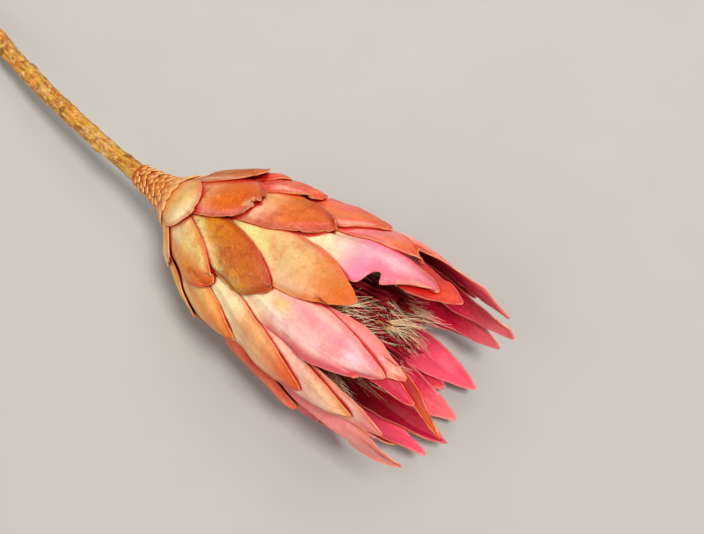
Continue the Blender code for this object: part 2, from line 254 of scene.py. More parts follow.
class Signal:
    # a socket of a material, which adds, multiplies and so on as a number does
    def __init__(self, finish, socket):
        self.finish = finish
        self.socket = socket

    def reckon(self, operation, first, second):
        return self.finish.node("ShaderNodeMath", {"operation": operation}, {0: first, 1: second})

    def __add__(self, other):
        return self.reckon("ADD", self, other)

    def __radd__(self, other):
        return self.reckon("ADD", other, self)

    def __sub__(self, other):
        return self.reckon("SUBTRACT", self, other)

    def __rsub__(self, other):
        return self.reckon("SUBTRACT", other, self)

    def __mul__(self, other):
        return self.reckon("MULTIPLY", self, other)

    def __rmul__(self, other):
        return self.reckon("MULTIPLY", other, self)


class Finish:
    # a material in the making: value, colour and place read what note kept on the mesh
    def __init__(self, name):
        self.material = bpy.data.materials.new(name)
        self.material.use_nodes = True
        self.tree = self.material.node_tree
        self.shader = self.tree.nodes["Principled BSDF"]

    def feed(self, socket, value):
        if isinstance(value, Signal):
            self.tree.links.new(value.socket, socket)
        else:
            socket.default_value = value

    def node(self, kind, settings, inputs, output=0):
        made = self.tree.nodes.new(kind)
        for key, value in settings.items():
            setattr(made, key, value)
        for key, value in inputs.items():
            self.feed(made.inputs[key], value)
        return Signal(self, made.outputs[output])

    def value(self, name):
        return self.node("ShaderNodeAttribute", {"attribute_name": name}, {}, "Fac")

    def colour(self, name):
        return self.node("ShaderNodeAttribute", {"attribute_name": name}, {}, "Color")

    def place(self, name):
        return self.node("ShaderNodeAttribute", {"attribute_name": name}, {}, "Vector")

    def mix(self, amount, first, second):
        settings = {"data_type": "RGBA", "blend_type": "MIX", "clamp_factor": True}
        return self.node("ShaderNodeMix", settings, {0: amount, 6: first, 7: second}, 2)

    def scaled(self, colour, amount):
        return self.node("ShaderNodeVectorMath", {"operation": "SCALE"}, {0: colour, "Scale": amount})

    def noise(self, place, scale, detail, roughness):
        inputs = {"Vector": place, "Scale": scale, "Detail": detail, "Roughness": roughness}
        return self.node("ShaderNodeTexNoise", {}, inputs)

    def grains(self, place, axis, looks):
        # noises by name, each squashed along one axis of the place and so drawn out that way
        made = {}
        for kind, (squash, *look) in looks.items():
            by = [1.0, 1.0, 1.0]
            by[axis] = squash
            squashed = self.node("ShaderNodeVectorMath", {"operation": "MULTIPLY"}, {0: place, 1: by})
            made[kind] = self.noise(squashed, *look)
        return made

    def layered(self, colour, layers):
        # lays colours over the first, each by its amount
        for amount, laid in layers:
            colour = self.mix(amount, colour, laid)
        return colour

    def band(self, signal, low, high, start=0.0, end=1.0):
        # start below low, end above high, smooth between
        inputs = {0: signal, 1: low, 2: high, 3: start, 4: end}
        return self.node("ShaderNodeMapRange", {"interpolation_type": "SMOOTHSTEP"}, inputs)

    def paint(self, colour, roughness, height, depth):
        self.feed(self.shader.inputs["Base Color"], colour)
        self.feed(self.shader.inputs["Roughness"], roughness)
        inputs = {"Strength": 1.0, "Distance": depth * mm, "Height": height}
        self.feed(self.shader.inputs["Normal"], self.node("ShaderNodeBump", {}, inputs, "Normal"))
        return self.material


# The head, which has its own frame: "up" runs along its axis from the neck to the mouth, "radius" out
# from that axis, and "azimuth" round it, from the side that shows.

head = {
    "neck": (12.7, 0.1, 19.3),
    "pitch": 4.0,
    "roll": 16.0,
    "profile": [
        (-12, 2.6), (-9, 2.7), (-3.3, 3.6), (1.2, 5.3), (5.8, 9.5), (10.3, 13.5), (15, 16.5), (23.8, 19.8),
        (34.5, 21.8), (45, 23.2), (55.2, 24.3), (67, 24.0), (78.8, 22.2), (94, 19.2),
    ],
    # the receptacle in slices, one for each ring: from and to up the axis, the radius at either end
    "slices": {
        "basal_scales": (-9.0, -0.4, 1.9, 2.6),
        "outer_bracts": (-0.1, 8.2, 1.9, 4.3),
        "middle_bracts": (8.5, 9.9, 3.6, 4.4),
        "inner_bracts": (10.2, 12.6, 3.4, 4.4),
    },
}

pitch = math.radians(head["pitch"])
headAxes = np.array([
    (-math.sin(pitch), 0, math.cos(pitch)),
    (0, -1, 0),
    (math.cos(pitch), 0, math.sin(pitch)),
])


def roundRadius(up):
    # the head's outline
    return smoothLine(head["profile"], up)


def steepness(up):
    slope = roundRadius(np.asarray(up, float) + 0.5) - roundRadius(np.asarray(up, float) - 0.5)
    return np.sqrt(1 + slope**2)


def floorRadius(up, azimuth):
    # how far out the floor is, or no floor on the upper side
    leastDown = 0.05
    noFloor = 1000.0
    height = head["neck"][2] + np.asarray(up, float) * math.sin(pitch)
    down = -np.cos(np.radians(np.asarray(azimuth, float) + head["roll"])) * math.cos(pitch)
    return np.where(down > leastDown, height / np.maximum(down, leastDown), noFloor)


def headPlaces(up, radius, azimuth):
    # from the head's own frame to the part's
    turn = np.radians(np.asarray(azimuth, float) + head["roll"])
    local = np.stack([radius * np.cos(turn), radius * np.sin(turn), np.asarray(up, float)], -1)
    return local @ headAxes + head["neck"]


def sliceCore(node):
    # the slice of the receptacle that a ring grows from
    low, high, lowRadius, highRadius = head["slices"][node]
    bpy.ops.mesh.primitive_cone_add(
        vertices=24, radius1=lowRadius, radius2=highRadius, depth=high - low, end_fill_type="TRIFAN",
    )
    core = active()
    points = readPoints(core)
    up = points[:, 2] + (low + high) / 2
    azimuth = np.degrees(np.arctan2(points[:, 1], points[:, 0])) - head["roll"]
    writePoints(core, headPlaces(up, np.hypot(points[:, 0], points[:, 1]), azimuth) * mm)
    faceOutwards()
    return core


# Bracts

bractForm = {
    # the lie of a bract: how far each layer lies under the next in its ring, and the next ring under it
    "layerStep": 0.95,
    "ringStep": 1.5,
    "edgeMargin": 1.0,
    "coverFade": 8.0,
    "firstRow": 2.0,
    "middleRow": 5.5,
    "innerRow": 7.5,
    # near the neck bracts lie packed, a layer to a row, and nearer still a collar of them is pressed in
    # for the neck scales: where each of the two starts to end, over how much, and how deep the collar is
    "packedEnds": (11.0, 10.0),
    "collarEnds": (7.0, 4.0),
    "collarDepth": 0.7,
    "neckEdge": 3.7,
    # the root: where it starts for the first row and each later one, how it sinks in the receptacle
    "firstBase": -2,
    "rowBase": 1.2,
    "rootDepth": 0.9,
    "rootMargin": 0.6,
    "rootSlope": 2.2,
    # the outline, as shares of the widest half-width and of the length
    "baseShare": 0.42,
    "bluntness": 0.6,
    "apex": 0.2,
    "apexFrom": 0.8,
    "leastHalf": (0.12, 0.1),
    "steepest": 3,
    # the free end: where it starts and how far its margins bend back
    "freeFrom": 0.55,
    "freeLimit": 1.15,
    "marginBend": 0.25,
    # the mesh: how many strips across and along, closer to each other at the margins and the tip
    "thickness": 0.3,
    "across": 36,
    "along": 56,
    "sideCrowding": 0.35,
    "tipCrowding": 1.7,
    # the margin: how far it is nicked, by nicks of these lengths, and how a torn tip is torn, by tears
    # of this pace across, height and turn
    "ragged": 0.02,
    "nicks": (9.0, 4.0, 1.7),
    "nickPaces": (0.8, 1.2),
    "nickStarts": (0, 6.3),
    "waveStarts": (0, 6),
    "tornDepth": 0.35,
    "tornMiddle": 0.4,
    "tornHold": 12,
    "tears": [(1.3, 1, 1), (3.1, 0.6, 2), (6.4, 0.4, 0)],
    # how far a margin is pressed down on what lies under it
    "pressFrom": 0.2,
    "pressReach": 1.3,
    "pressLimit": 1.6,
    "airGap": 0.08,
    "looseGap": 0.2,
    # relief, each with its height and size
    "lumps": (0.09, 9),
    "smallLumps": (0.04, 2.6),
    "lumpsFrom": (8, 6),
    "pleats": (0.05, 1.9),
    "creases": (0.035, 1.7),
    "creaseStretch": 0.1,
    "ripple": 0.12,
    "ripplePace": (0.5, 0.8),
    "rippleShift": 1.3,
    # where the ripple and the curl begin, how far that is from the tip, and a tip's roll
    "rippleFrom": (0.6, 0.4),
    "curlFrom": (0.86, 0.14),
    "liftReach": 1.6,
    "rollWidth": 0.3,
    "rollFrom": (0.93, 0.05),
    "rollLength": 0.07,
    "rollTurn": 2.2,
    "rollBack": 1.3,
    # a bract is free of what lies over it from here, over so much
    "openFrom": (-0.3, 2.5),
    # the inner face of the mouth is lighter from here up, over so much
    "mouthFrom": (48, 38),
    "patternShift": 37.0,
}

ringNodes = ("outer_bracts", "middle_bracts", "inner_bracts")

# Row, azimuth at the base and at the tip, how far up the tip is, widest half-width, how far the tip
# stands off. A lower row lies outside a higher one.
shownBracts = {
    "neckCap": (2.0, -2, -4, 15.2, 7.4, 0.2),
    "upturned": (2.6, -64, -61, 22.8, 6.8, 1.0),
    "liftedEdge": (2.7, 84, 84, 26.6, 7.4, 0.7),
    "tornTip": (3.0, -27, -31, 28.6, 8.4, 0.4),
    "spottedTan": (3.0, 25, 32, 29.4, 7.2, 0.2),
    "backPink": (3.2, -88, -74, 27.0, 6.8, 0.5),
    "backRed": (4.0, -66, -70, 37.4, 8.6, 0.4),
    "mustardHeart": (4.0, 5, 10, 43.2, 7.0, 0.2),
    "creamTan": (4.0, 56, 59, 39.2, 7.6, 0.3),
    "brownTip": (4.6, -37, -43, 46.4, 8.6, 0.3),
    "ridgeRed": (6.0, -63, -68, 55.2, 9.6, 0.4),
    "greenCream": (6.0, -9, -10, 61.6, 7.9, 0.2),
    "lowerApricot": (6.0, 43, 51, 59.8, 7.8, 0.3),
    "lowerRed": (6.2, 84, 84, 58.2, 7.2, 0.9),
    "ridgeSalmon": (6.6, -80, -60, 66.2, 7.8, 0.3),
    "lilacGloss": (7.0, -34, -47, 73.6, 9.0, 0.4),
    "pinkGloss": (7.0, 20, 15, 75.4, 7.6, 0.3),
    "lowerPeach": (7.0, 44, 50, 72.6, 8.0, 0.3),
    "mouthPink": (8.0, 14, 10, 79.2, 5.6, 0.0),
    "lowerPink": (8.0, 43, 49, 80.6, 6.8, 0.2),
    "underGloss": (8.0, -52, -53, 79.0, 7.0, 0.0),
    "mouthRed": (8.4, 8, 20, 83.5, 4.4, 0.0),
    "longPink": (9.0, 70, 73, 86.6, 7.2, 0.8),
    "crimsonFace": (9.0, 122, 126, 87.2, 6.8, 0.6),
    "darkFace": (9.2, 143, 143, 89.4, 6.6, 0.6),
    "mouthOrange": (9.2, 12, 31, 91.8, 2.9, 0.0),
}

# The side that is turned away: row, how far up the tips are, widest half-width, azimuths.
hiddenBracts = [
    (2.0, 14.0, 7.0, (58, 118, 180, 246)),
    (3.0, 27.6, 7.4, (134, 180, 226)),
    (4.0, 39.5, 7.8, (112, 158, 204, 246)),
    (4.6, 46.0, 7.8, (134, 182)),
    (6.0, 58.5, 8.2, (126, 172, 216, 256)),
    (7.0, 72.5, 7.8, (102, 148, 194, 238)),
    (8.0, 80.5, 7.0, (126, 172, 216, 260)),
    (9.0, 88.6, 6.8, (168, 194, 220, 246, 272)),
]

# How each bract is coloured and shaped. colours: where it comes out from under the others, in its middle,
# which may be moved, and at its tip; slant carries them further along on one side. stain: what blotches
# it and how strongly. stripes: where across, how wide, how strong, the tone. marks: where across and
# along, the size both ways, how strong, the tone. specks are brown, the rim is pale, and the seam beside
# what lies over it is dark red, partly the bract's own colour where it was covered and partly painted
# shade under that margin. Painted light brightens the lining, and a low lining light paints it in shade.
# bites and swells change the margin: which side, where along, how deep or far out, how long. hook keeps
# the turn for the tip, sway leans the blade aside at one height, cutoff blunts it, torn frays it, curl
# raises the tip, lip rolls a bit of it back, lifted raises one margin, and a low pressed keeps margins
# from lying down.
bractPaint = {
    "neckCap": {
        "colours": ("apricot", "paleGold", "cream"), "stain": ("rustOrange", 0.5), "rim": 1.0, "torn": 0.5,
        "pressed": 0.3, "curl": 0.25, "cutoff": 0.02,
        "marks": [(0.6, 0.75, 3.4, 3.6, 0.8, "cream"), (-0.7, 0.7, 2.0, 3.0, 0.5, "orange")],
    },
    "upturned": {
        "colours": ("bronze", "goldBrown", "orange"), "stain": ("rust", 0.9), "rim": 0.9, "curl": 1.0,
        "pressed": 0.4, "stripes": [(0.9, 0.15, 0.8, "blush")],
    },
    "liftedEdge": {
        "colours": ("peach", "tan", "apricot"), "stain": ("rustOrange", 0.5), "rim": 1.0, "slant": 0.1,
        "specks": 0.5, "stripes": [(-0.8, 0.25, 0.6, "butter")], "pressed": 0.6, "lifted": (-1, 0.2, 0.4),
    },
    "tornTip": {
        "colours": ("peach", "orange", "rustOrange"), "stain": ("rust", 0.8), "rim": 0.7, "torn": 1.2,
        "stripes": [(0.92, 0.2, 0.7, "pink"), (-0.9, 0.25, 0.7, "rose")], "curl": 0.8, "shadedSeam": 2.0,
        "marks": [(0.35, 0.95, 1.3, 1.2, 0.9, "cream"), (0.3, 0.42, 0.35, 0.35, 0.7, "butter")],
        "pressed": 0.5, "cutoff": 0.06, "lip": (0.4, 0.9),
    },
    "spottedTan": {
        "colours": ("cream", "tan", "orange"), "stain": ("rustOrange", 0.6), "rim": 0.6, "specks": 1.0,
        "stripes": [(0.88, 0.2, 0.8, "coral"), (-0.55, 0.35, 0.6, "greenCream")], "shadedSeam": 1.3,
        "middle": 0.4,
        "marks": [
            (0.3, 0.66, 0.7, 0.9, 0.8, "rust"), (0.15, 0.75, 0.6, 1.6, 0.8, "rust"),
            (-0.3, 0.2, 2.4, 2.6, 0.8, "cream"), (-0.2, 0.93, 1.4, 1.6, 0.7, "rustOrange"),
            (0.3, 0.5, 2.0, 3.0, 0.4, "orange"),
        ],
    },
    "backPink": {"colours": ("rose", "coral", "salmon"), "stain": ("brick", 0.6), "rim": 0.5},
    "backRed": {
        "colours": ("coral", "coral", "salmon"), "stain": ("brick", 0.7), "rim": 1.0, "curl": 0.4,
        "stripes": [(0.85, 0.16, 0.9, "blush"), (0.1, 0.3, 0.5, "apricot")],
    },
    "mustardHeart": {
        "colours": ("greenCream", "mustard", "rustOrange"), "stain": ("rust", 0.9), "rim": 0.6,
        "middle": 0.3, "slant": -0.4, "specks": 0.8, "stripes": [(-0.97, 0.1, 0.3, "pink")],
        "swells": [(1, 0.86, 1.8, 0.1)],
        "marks": [
            (0.2, 0.94, 6.0, 4.4, 0.8, "rust"), (-0.4, 0.62, 4.2, 9.0, 0.9, "bronze"),
            (0.5, 0.14, 2.6, 6.0, 0.8, "cream"), (0.7, 0.45, 1.4, 6.0, 0.5, "greenCream"),
        ],
    },
    "creamTan": {
        "colours": ("cream", "paleGold", "apricot"), "stain": ("rustOrange", 0.5), "rim": 0.8, "middle": 0.4,
        "shadedSeam": 0.4, "stripes": [(0.8, 0.25, 0.7, "coral"), (-0.2, 0.2, 0.6, "orange")],
    },
    "brownTip": {
        "colours": ("peach", "orange", "brick"), "stain": ("rust", 0.7), "rim": 0.8, "shadedSeam": 0.9,
        "stripes": [(0.9, 0.2, 0.4, "pink"), (0.1, 0.4, 0.4, "apricot")], "middle": 0.34, "curl": 0.3,
        "marks": [(0.6, 0.1, 2.4, 4.0, 0.7, "blush")],
    },
    "ridgeRed": {
        "colours": ("salmon", "coral", "salmon"), "stain": ("brick", 0.6), "rim": 1.0, "curl": 0.3,
        "stripes": [(-0.5, 0.3, 0.5, "pink"), (0.3, 0.3, 0.6, "apricot"), (0.9, 0.14, 1.0, "blush")],
    },
    "greenCream": {
        "colours": ("greenCream", "wood", "orange"), "stain": ("orange", 0.7), "rim": 0.5, "specks": 0.9,
        "stripes": [(-0.92, 0.2, 0.6, "rose"), (0.6, 0.3, 0.35, "blush")], "middle": 0.36, "shadedSeam": 0.4,
        "marks": [
            (-0.5, 0.95, 2.4, 5.0, 0.5, "brick"), (0.2, 0.68, 3.0, 5.0, 0.4, "peach"),
            (-0.1, 0.88, 4.0, 7.0, 0.7, "goldBrown"), (0.1, 0.95, 4.0, 6.0, 0.6, "rustOrange"),
            (-0.6, 0.3, 2.6, 5.0, 0.3, "peach"),
        ],
    },
    "lowerApricot": {
        "colours": ("cream", "peach", "redOrange"), "stain": ("rustOrange", 0.35), "rim": 1.0, "middle": 0.42,
        "shadedSeam": 0.5, "specks": 0.4, "stripes": [(-0.5, 0.3, 0.35, "apricot"), (0.3, 0.3, 0.2, "cream")],
        "marks": [(-0.1, 0.9, 3.0, 7.0, 0.5, "redOrange")],
    },
    "lowerRed": {
        "colours": ("apricot", "redOrange", "salmon"), "stain": ("brick", 0.6), "rim": 0.9, "shadedSeam": 1.0,
    },
    "ridgeSalmon": {
        "colours": ("pink", "salmon", "coral"), "stain": ("brick", 0.4), "rim": 1.0, "shadedSeam": 0.4,
        "stripes": [(0.4, 0.3, 0.5, "apricot"), (0.94, 0.12, 0.9, "blush")],
    },
    "lilacGloss": {
        "colours": ("cream", "lilac", "rose"), "stain": ("rose", 0.35), "rim": 0.8, "middle": 0.4,
        # its pale lilac stripe and mark are a painted highlight
        "stripes": [(0.2, 0.3, 0.4, "paintedHighlightLilac"), (-0.75, 0.3, 0.6, "coral")], "rows": 130, "shadedSeam": 0.5,
        "marks": [
            (0.1, 0.6, 2.4, 5.0, 0.5, "paintedHighlightLilac"), (0.9, 0.93, 0.7, 5.0, 0.8, "cream"),
            (0.3, 0.9, 2.4, 4.0, 0.5, "rose"),
        ],
        "swells": [(1, 0.76, 3.2, 0.13)], "bites": [(1, 0.81, 3.6, 0.024)],
    },
    "pinkGloss": {
        "colours": ("cream", "blush", "pink"), "stain": ("rose", 0.45), "rim": 0.6, "specks": 0.5,
        # its pale lilac stripe and mark are a painted highlight
        "stripes": [(0.8, 0.3, 0.95, "rose"), (-0.4, 0.4, 0.6, "lilac"), (0.25, 0.2, 0.5, "paintedHighlightLilac")],
        "shadedSeam": 0.45,
        "marks": [
            (0.54, 0.33, 0.5, 1.1, 0.8, "rust"), (-0.2, 0.2, 1.4, 2.4, 0.8, "butter"),
            (-0.1, 0.78, 1.6, 3.0, 0.7, "paintedHighlightLilac"), (-0.1, 0.97, 2.0, 2.4, 0.5, "peach"),
        ],
    },
    "lowerPeach": {
        "colours": ("blush", "blush", "peach"), "stain": ("rustOrange", 0.3), "rim": 0.9, "specks": 0.8,
        "stripes": [(-0.6, 0.4, 0.3, "butter"), (0.8, 0.25, 0.5, "salmon")],
    },
    "mouthPink": {
        "colours": ("pink", "blush", "pink"), "stain": ("coral", 0.4), "rim": 0.9, "shadedSeam": 0.5,
        "swells": [(-1, 0.84, 1.7, 0.11)],
    },
    "lowerPink": {"colours": ("blush", "pink", "pink"), "stain": ("coral", 0.3), "rim": 0.9},
    "underGloss": {
        "colours": ("brick", "redOrange", "coral"), "stain": ("crimson", 0.5), "rim": 0.6,
        "swells": [(1, 0.86, 3.6, 0.1)],
    },
    "mouthRed": {
        "colours": ("crimson", "crimson", "brightRed"), "stain": ("crimson", 0.5), "rim": 1.0, "hook": 3,
    },
    "longPink": {
        "colours": ("rose", "pink", "blush"), "stain": ("coral", 0.4), "rim": 1.0, "lifted": (1, 1.2, 0.6),
        "marks": [(-0.5, 0.88, 0.8, 6.0, 0.9, "crimson")],
    },
    # its lining is brightened by painted light, for the light that reaches into the mouth
    "crimsonFace": {"colours": ("rose", "coral", "pink"), "stain": ("crimson", 0.4), "rim": 1.0, "paintedLight": 1.0},
    # a low lining light paints this bract's lining in shade
    "darkFace": {"colours": ("rose", "coral", "pink"), "stain": ("crimson", 0.4), "rim": 0.8, "liningLight": 0.6},
    # its lower part is wine, painted shade where it lies deep between the others
    "mouthOrange": {
        "colours": ("wine", "rustOrange", "paleGold"), "stain": ("brick", 0.3), "rim": 1.0, "hook": 5,
        "sway": (-8, 0.84, 0.12), "middle": 0.76, "stripes": [(-0.8, 0.4, 0.8, "crimson")],
        "marks": [(0.2, 0.93, 1.0, 5.0, 0.8, "orange")],
    },
}

# What a bract has where its paint doesn't say
plainPaint = {
    "middle": 0.5, "slant": 0, "stripes": [], "marks": [], "specks": 0.15, "shadedSeam": 0.7, "paintedLight": 0.0, "liningLight": 1,
    "bites": [], "swells": [], "hook": 1, "sway": (0, 0, 1), "cutoff": 0, "torn": 0, "curl": 0.1,
    "lifted": (1, 0, 0), "lip": (0, 0), "pressed": 1.0, "rows": bractForm["along"],
}

# Paints for the side turned away, taken in turn for a bract's row, and how far its bracts stray: round,
# aslant, up, off and inwards.
hiddenPaint = {
    2: ["neckCap", "spottedTan"],
    3: ["spottedTan", "tornTip", "liftedEdge"],
    4: ["mustardHeart", "creamTan", "backRed", "brownTip"],
    6: ["lowerApricot", "greenCream", "ridgeRed", "lowerRed"],
    7: ["lilacGloss", "lowerPeach", "pinkGloss", "ridgeSalmon"],
    8: ["lowerPink", "mouthPink", "underGloss"],
    9: ["longPink", "crimsonFace", "lowerPink", "mouthRed"],
}
hiddenStray = {"turn": 3, "lean": 5, "reach": 1.6, "lift": 0.5, "row": 0.3}


class Bract:
    def __init__(self, row, azimuth, tipAzimuth, tip, halfWidth, lift, paint):
        self.row = row
        self.azimuth = azimuth
        self.turn = float(turned(tipAzimuth - azimuth))
        self.tip = tip
        self.halfWidth = halfWidth
        self.lift = lift
        self.paint = plainPaint | bractPaint[paint]
        self.base = bractForm["rowBase"] * row + bractForm["firstBase"]
        self.ring = ringNodes[(row > bractForm["middleRow"]) + (row > bractForm["innerRow"])]

    def along(self, up):
        # 0 at the base and 1 at the tip
        return (np.asarray(up, float) - self.base) / (self.tip - self.base)

    def outline(self, v):
        share = bractForm["baseShare"]
        rise = share + (1 - share) * np.sin(np.clip(v, 0, 0.5) * math.pi)
        fall = np.maximum(1 - (np.clip(v, 0.5, 1) * 2 - 1) ** 2, 0) ** bractForm["bluntness"]
        return self.halfWidth * np.where(np.asarray(v) < 0.5, rise, fall)

    def slanting(self, v):
        # how much longer the way to the margin is straight across than square to it
        step = 0.01
        slope = (self.outline(v + step) - self.outline(v)) / (step * (self.tip - self.base))
        return np.sqrt(1 + np.minimum(slope**2, bractForm["steepest"] ** 2))

    def middle(self, up):
        v = np.clip(self.along(up), 0, 1)
        amount, where, width = self.paint["sway"]
        return self.azimuth + self.turn * v ** self.paint["hook"] + amount * hill(v, where, width)

    def sideways(self, up, azimuth, around):
        return np.abs(np.radians(turned(azimuth - self.middle(up))) * around)

    def riseAndCover(self, up, azimuth, around):
        v = self.along(up)
        sideways = self.sideways(up, azimuth, around)
        free = np.clip((v - bractForm["freeFrom"]) / (1 - bractForm["freeFrom"]), 0, bractForm["freeLimit"])
        across = np.minimum(sideways, self.halfWidth) / self.halfWidth
        rise = self.lift * free**2 - bractForm["marginBend"] * across**2
        beside = np.maximum(sideways - self.outline(v), 0)
        outside = np.hypot(beside, np.maximum(up - self.tip, 0))
        return rise, 1 - ramp((outside - bractForm["edgeMargin"]) / bractForm["coverFade"])

    def distance(self, up, azimuth, around):
        # how far outside its margin a place is, less than 0 under it
        v = self.along(up)
        sideways = self.sideways(up, azimuth, around)
        beside = (sideways - self.outline(v)) / self.slanting(v)
        return np.where(up < self.tip, beside, np.hypot(sideways, up - self.tip))


def allBracts():
    # from the outermost to the innermost
    bracts = [Bract(*shape, name) for name, shape in shownBracts.items()]
    chance = random.Random(7)
    stray = hiddenStray
    for row, tip, halfWidth, azimuths in hiddenBracts:
        paints = hiddenPaint[int(row)]
        for k, azimuth in enumerate(azimuths):
            at = azimuth + chance.uniform(-stray["turn"], stray["turn"])
            lean = chance.uniform(-stray["lean"], stray["lean"])
            reach = tip + chance.uniform(-stray["reach"], stray["reach"])
            lift = chance.uniform(0.0, stray["lift"])
            ownRow = row + stray["row"] * chance.random()
            bracts.append(Bract(ownRow, at, at + lean, reach, halfWidth, lift, paints[k % len(paints)]))
    return sorted(bracts, key=lambda bract: bract.row)


bracts = allBracts()


def standOffs(up, azimuth):
    # how far each bract stands off the head's outline there, under all that lies over it
    form = bractForm
    around = roundRadius(up)
    collar = 1 - rampFrom(up, *form["collarEnds"])
    spread = rampFrom(up, *form["packedEnds"])
    laid = []
    offs = []
    for bract in bracts:
        rise, cover = bract.riseAndCover(up, azimuth, around)
        pressed = collar * (rise + form["collarDepth"])
        for over, height, covered in laid:
            if over.row < bract.row:
                step = form["layerStep"] if over.ring == bract.ring else form["ringStep"]
                pressed = np.maximum(pressed, covered * (rise - height + step))
        if cover.max() > 0:
            laid.append((bract, rise - pressed, cover))
        packed = form["layerStep"] * (bract.row - form["firstRow"])
        packed += (form["ringStep"] - form["layerStep"]) * ringNodes.index(bract.ring)
        offs.append((rise - pressed) * spread - (packed + collar * form["collarDepth"]) * (1 - spread))
    return offs


def radiusAt(off, up, azimuth):
    outside = np.minimum(roundRadius(up) + np.maximum(off, 0), floorRadius(up, azimuth))
    return outside + np.minimum(off, 0) * steepness(up)


def rootOf(index):
    # where the bract's root is sunk in its slice of the receptacle: how far up, and the radius
    bract = bracts[index]
    low, high, lowRadius, highRadius = head["slices"][bract.ring]
    ups = np.linspace(low + bractForm["rootMargin"], high - bractForm["rootMargin"], 40)
    sunk = np.interp(ups, (low, high), (lowRadius, highRadius)) - bractForm["rootDepth"]
    middle = bract.middle(ups)
    inside = radiusAt(standOffs(ups, middle)[index], ups, middle) < sunk
    at = np.flatnonzero(inside)[-1] if inside.any() else 0
    return float(ups[at]), float(sunk[at])


def tuckOf(index, up, azimuth):
    # how far a place lies out from under the bracts and neck scales over it
    around = roundRadius(up)
    tuck = np.asarray(up, float) - bractForm["neckEdge"]
    for over in bracts[:index]:
        if over.row < bracts[index].row:
            tuck = np.minimum(tuck, over.distance(up, azimuth, around))
    return tuck


# How the painted colours wander off their lines, with how far and the size of the swells; where they
# come in at the root, over how much; where they fade towards the tip, over how much, how far.
flushForm = {
    "wander": (0.06, 11),
    "stripeWander": (0.08, 9),
    "markWander": (0.4, 1.6),
    "comesIn": (0.02, 0.2),
    "fades": (0.8, 0.2, 0.5),
}


def flushOf(paint, bared, shown, side, half, places):
    # the smooth colour of a bract's outer face
    colours = [tone(name) for name in paint["colours"]]
    middle = paint["middle"]
    at = bared + paint["slant"] * side + wobble(places, *flushForm["wander"], 21)
    first = ramp(at / middle)[:, None]
    second = ramp((at - middle) / (1 - middle))[:, None]
    colour = colours[0] + (colours[1] - colours[0]) * first
    colour = colour + (colours[2] - colour) * second
    fadeFrom, fadeOver, fade = flushForm["fades"]
    window = rampFrom(bared, *flushForm["comesIn"]) * (1 - fade * rampFrom(bared, fadeFrom, fadeOver))
    for where, width, strength, name in paint["stripes"]:
        offLine = side - where + wobble(places, *flushForm["stripeWander"], 22)
        amount = strength * hill(offLine, 0, width) * window
        colour = colour + (tone(name) - colour) * amount[:, None]
    for where, reach, wide, long, strength, name in paint["marks"]:
        across = (side - where) * half / wide
        along = (bared - reach) * shown / long
        ragged = 1 + wobble(places, *flushForm["markWander"], 23)
        amount = strength * np.exp(-(across**2 + along**2) * ragged)
        colour = colour + (tone(name) - colour) * amount[:, None]
    return colour


def marginsOf(bract, side, up, v, chance):
    # half the blade's width: a little ragged, with swells and bites, and blunter where it is cut off
    form = bractForm
    paint = bract.paint
    blunt = v * (1 - paint["cutoff"] * ramp((v - 0.5) / 0.5))
    half = bract.outline(blunt) * (1 - form["apex"] * ramp((v - form["apexFrom"]) / (1 - form["apexFrom"])))
    half = np.maximum(half, form["leastHalf"][0])
    bare = ramp((v - 0.3) / 0.2)
    for sign in (-1, 1):
        jag = np.zeros(len(up))
        for size in form["nicks"]:
            pace = 2 * math.pi / size * chance.uniform(*form["nickPaces"])
            jag += size**0.6 * np.sin(up * pace + chance.uniform(*form["nickStarts"]))
        nicked = half + form["ragged"] * jag * bare * np.minimum(half, 1)
        half = np.where(side * sign > 0, nicked, half)
    for sign, where, far, width in paint["swells"]:
        half = half + far * hill(v, where, width) * (side * sign > 0)
    for sign, where, depth, width in paint["bites"]:
        half = half - depth * hill(v, where, width, 4) * (side * sign > 0)
    return np.maximum(half, form["leastHalf"][1])


def pressOf(index, offs, up, azimuth, around, edge):
    # how far the margin is pressed down on the bracts that lie under it
    form = bractForm
    nothing = -9.0
    under = np.full(len(up), nothing)
    for k, other in enumerate(bracts):
        if other.row > bracts[index].row:
            below = other.distance(up, azimuth, around) < form["pressFrom"]
            under = np.where(below, np.maximum(under, offs[k]), under)
    gap = offs[index] - under - form["thickness"] - form["airGap"]
    gap = np.where(under > nothing, gap, form["looseGap"])
    return np.clip(gap, 0, form["pressLimit"]) * hill(edge, 0, form["pressReach"])


def reliefOf(index, side, up, v, half, places, chance):
    # lumps all over, and what a bract does where it is free: pleats, creases, a rippled or lifted margin,
    # a curled tip
    form = bractForm
    paint = bracts[index].paint
    lumps = wobble(places, *form["lumps"], 5) + wobble(places, *form["smallLumps"], 6)
    height, pace = form["pleats"]
    pleats = height * np.sin(side * half * pace + chance.uniform(*form["waveStarts"])) * (1 - side**2)
    drawnOut = np.column_stack([side * half, up * form["creaseStretch"]])
    creases = wobble(drawnOut, *form["creases"], 300 + index)
    pace = chance.uniform(*form["ripplePace"])
    wave = np.sin(up * pace + np.sign(side) * form["rippleShift"] + chance.uniform(*form["waveStarts"]))
    ripple = form["ripple"] * np.abs(side) ** 3 * (0.6 + wave) * rampFrom(v, *form["rippleFrom"])
    curl = paint["curl"] * rampFrom(v, *form["curlFrom"]) ** 1.5
    sign, amount, start = paint["lifted"]
    lifted = amount * np.maximum(side * sign, 0) ** 3 * ramp((v - start) / (1 - start) * form["liftReach"])
    lifted = lifted * np.minimum(half / 3, 1)
    return lumps, pleats + creases + ripple + curl + lifted


